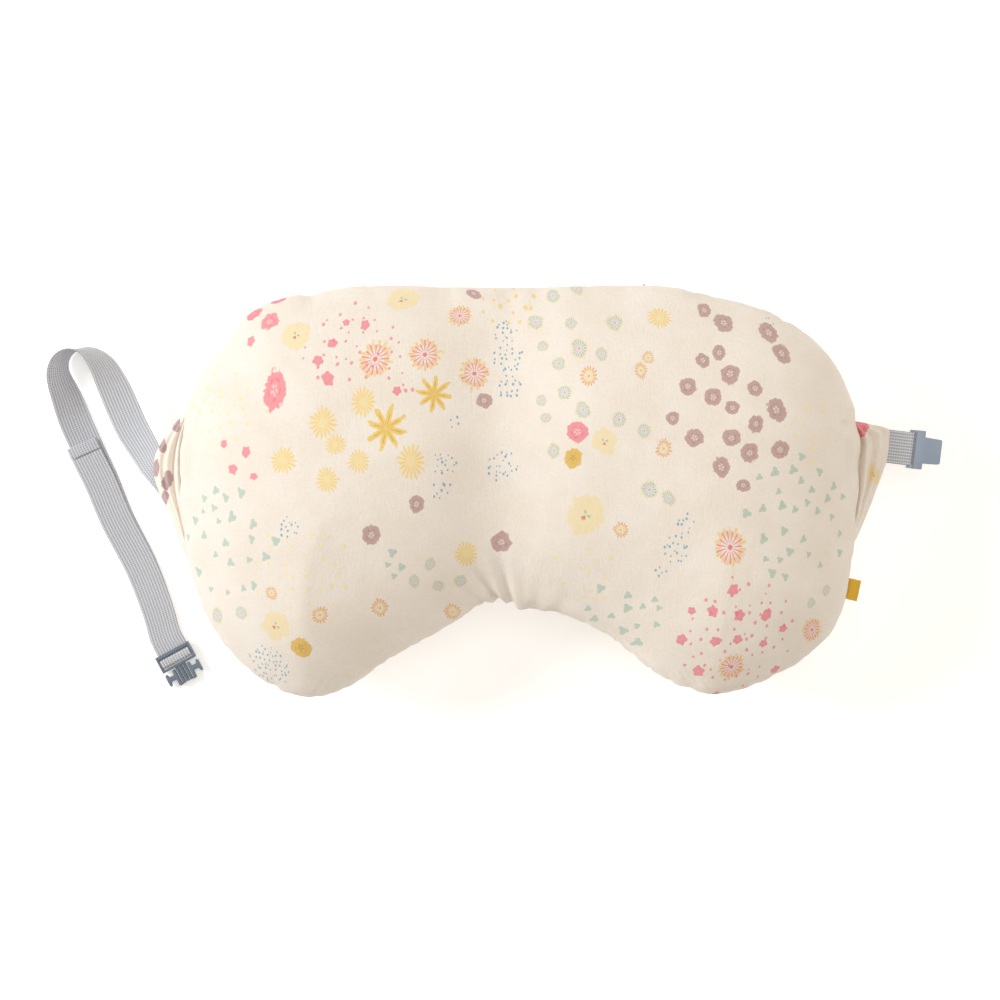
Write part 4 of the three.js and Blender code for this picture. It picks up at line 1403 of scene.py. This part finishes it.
def stitch_piece(name, stitches, radius=0.28 * MM):
    """Short threads with pointed ends, all in one piece."""
    points, faces = [], []
    sides, profile = 6, [(-0.5, 0.05), (-0.36, 0.8), (0, 1.0), (0.36, 0.8), (0.5, 0.05)]
    for middle, direction, length in stitches:
        first = unit(np.cross(direction, (0.1, 0.4, 0.9)))
        second = np.cross(direction, first)
        base = len(points)
        for place, share in profile:
            for k in range(sides):
                turn = k / sides * math.tau
                round_part = first * math.cos(turn) + second * math.sin(turn)
                points.append(middle + direction * length * place + round_part * radius * share)
        faces += tube_faces(len(profile), sides, base)
    return new_object(name, points, faces)


def add_label(finish):
    """A blank folded tag of woven tape sewn into the seam."""
    low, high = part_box("side_label")
    middle, half = (low[2] + high[2]) / 2, 0.36 * MM
    x0, x1 = low[0] - 2 * MM, high[0] - 0.3 * MM
    line = [(x0, half), (x0 + 5 * MM, half), (x1 - 0.6 * MM, half), (x1 - 0.15 * MM, half / 2)]
    line += [(x1, 0.0)] + [(x, -z) for x, z in line[::-1]]
    rows, columns = 20, len(line)
    points, uvs, faces = [], [], []
    for i in range(rows):
        part = i / (rows - 1)
        for j, (x, z) in enumerate(line):
            sway = 0.5 * MM * math.sin(5 * part) * (x - x0) / (x1 - x0)
            points.append((x, low[1] + (high[1] - low[1]) * part, middle + z + sway))
            uvs.append((j * 2.5 * MM, 19 * MM * part))
    for i in range(rows - 1):
        for j in range(columns - 1):
            a = i * columns + j
            faces.append((a, a + 1, a + columns + 1, a + columns))
    lean, hinge = math.radians(-13), (x0, (low[1] + high[1]) / 2)
    for k, (x, y, z) in enumerate(points):
        x, y = (x - hinge[0]) * 1.06, y - hinge[1]
        x, y = x * math.cos(lean) - y * math.sin(lean), x * math.sin(lean) + y * math.cos(lean)
        points[k] = (x + hinge[0], y + hinge[1], z)
    tag = new_object("blank_side_label", points, faces, uvs)
    wall = tag.modifiers.new("cloth_thickness", "SOLIDIFY")
    wall.thickness = 0.3 * MM
    wall.offset = 0
    apply_modifiers(tag)
    outward(tag)
    finish_piece(tag, "cushion", "label_tape", finish, "side_label")


# ---------------------------------------------------------------- the whole object

add_camera()
web_group = ribbed_webbing()
weave_group = woven_cloth()
web_finish = grey_webbing(web_group)
add_straps(web_finish)
add_short_strap(web_finish)
add_socket()

outline = seam_outline(AROUND)
top = shaped_panel(outline, True)
base = shaped_panel(outline, False)
cotton = printed_cotton(fine_dots(top), larger_motifs(), weave_group)
motifs = planned_motifs(top)
add_cover(top, base, cotton, motifs)
add_liner(top, base, plain_cloth("white_liner_cloth", "f4f2ec", weave_group, 1600.0))
wing("left_wing", outline, -1, (72, -66), LEFT_EDGE, 60, 29, LEFT_FOLDS, motifs, cotton,
     "left_wing_upper", "left_wing_lower")
wing("right_wing", outline, 1, (62, -54), RIGHT_EDGE, 81, 27, RIGHT_FOLDS, motifs, cotton,
     "right_wing_upper", "right_wing_lower")
add_label(plain_cloth("golden_label_tape", "e3b53c", weave_group, 1500.0))
add_zip(
    plain_cloth("cream_zip_tape", "efe6d8", weave_group, 1200.0),
    moulded_plastic("cream_zip_coil", "ece2d2", 0.4),
    satin_metal("satin_zip_metal"),
    plain_cloth("cream_thread", "f3eadb", weave_group, 3000.0),
)
add_studio()
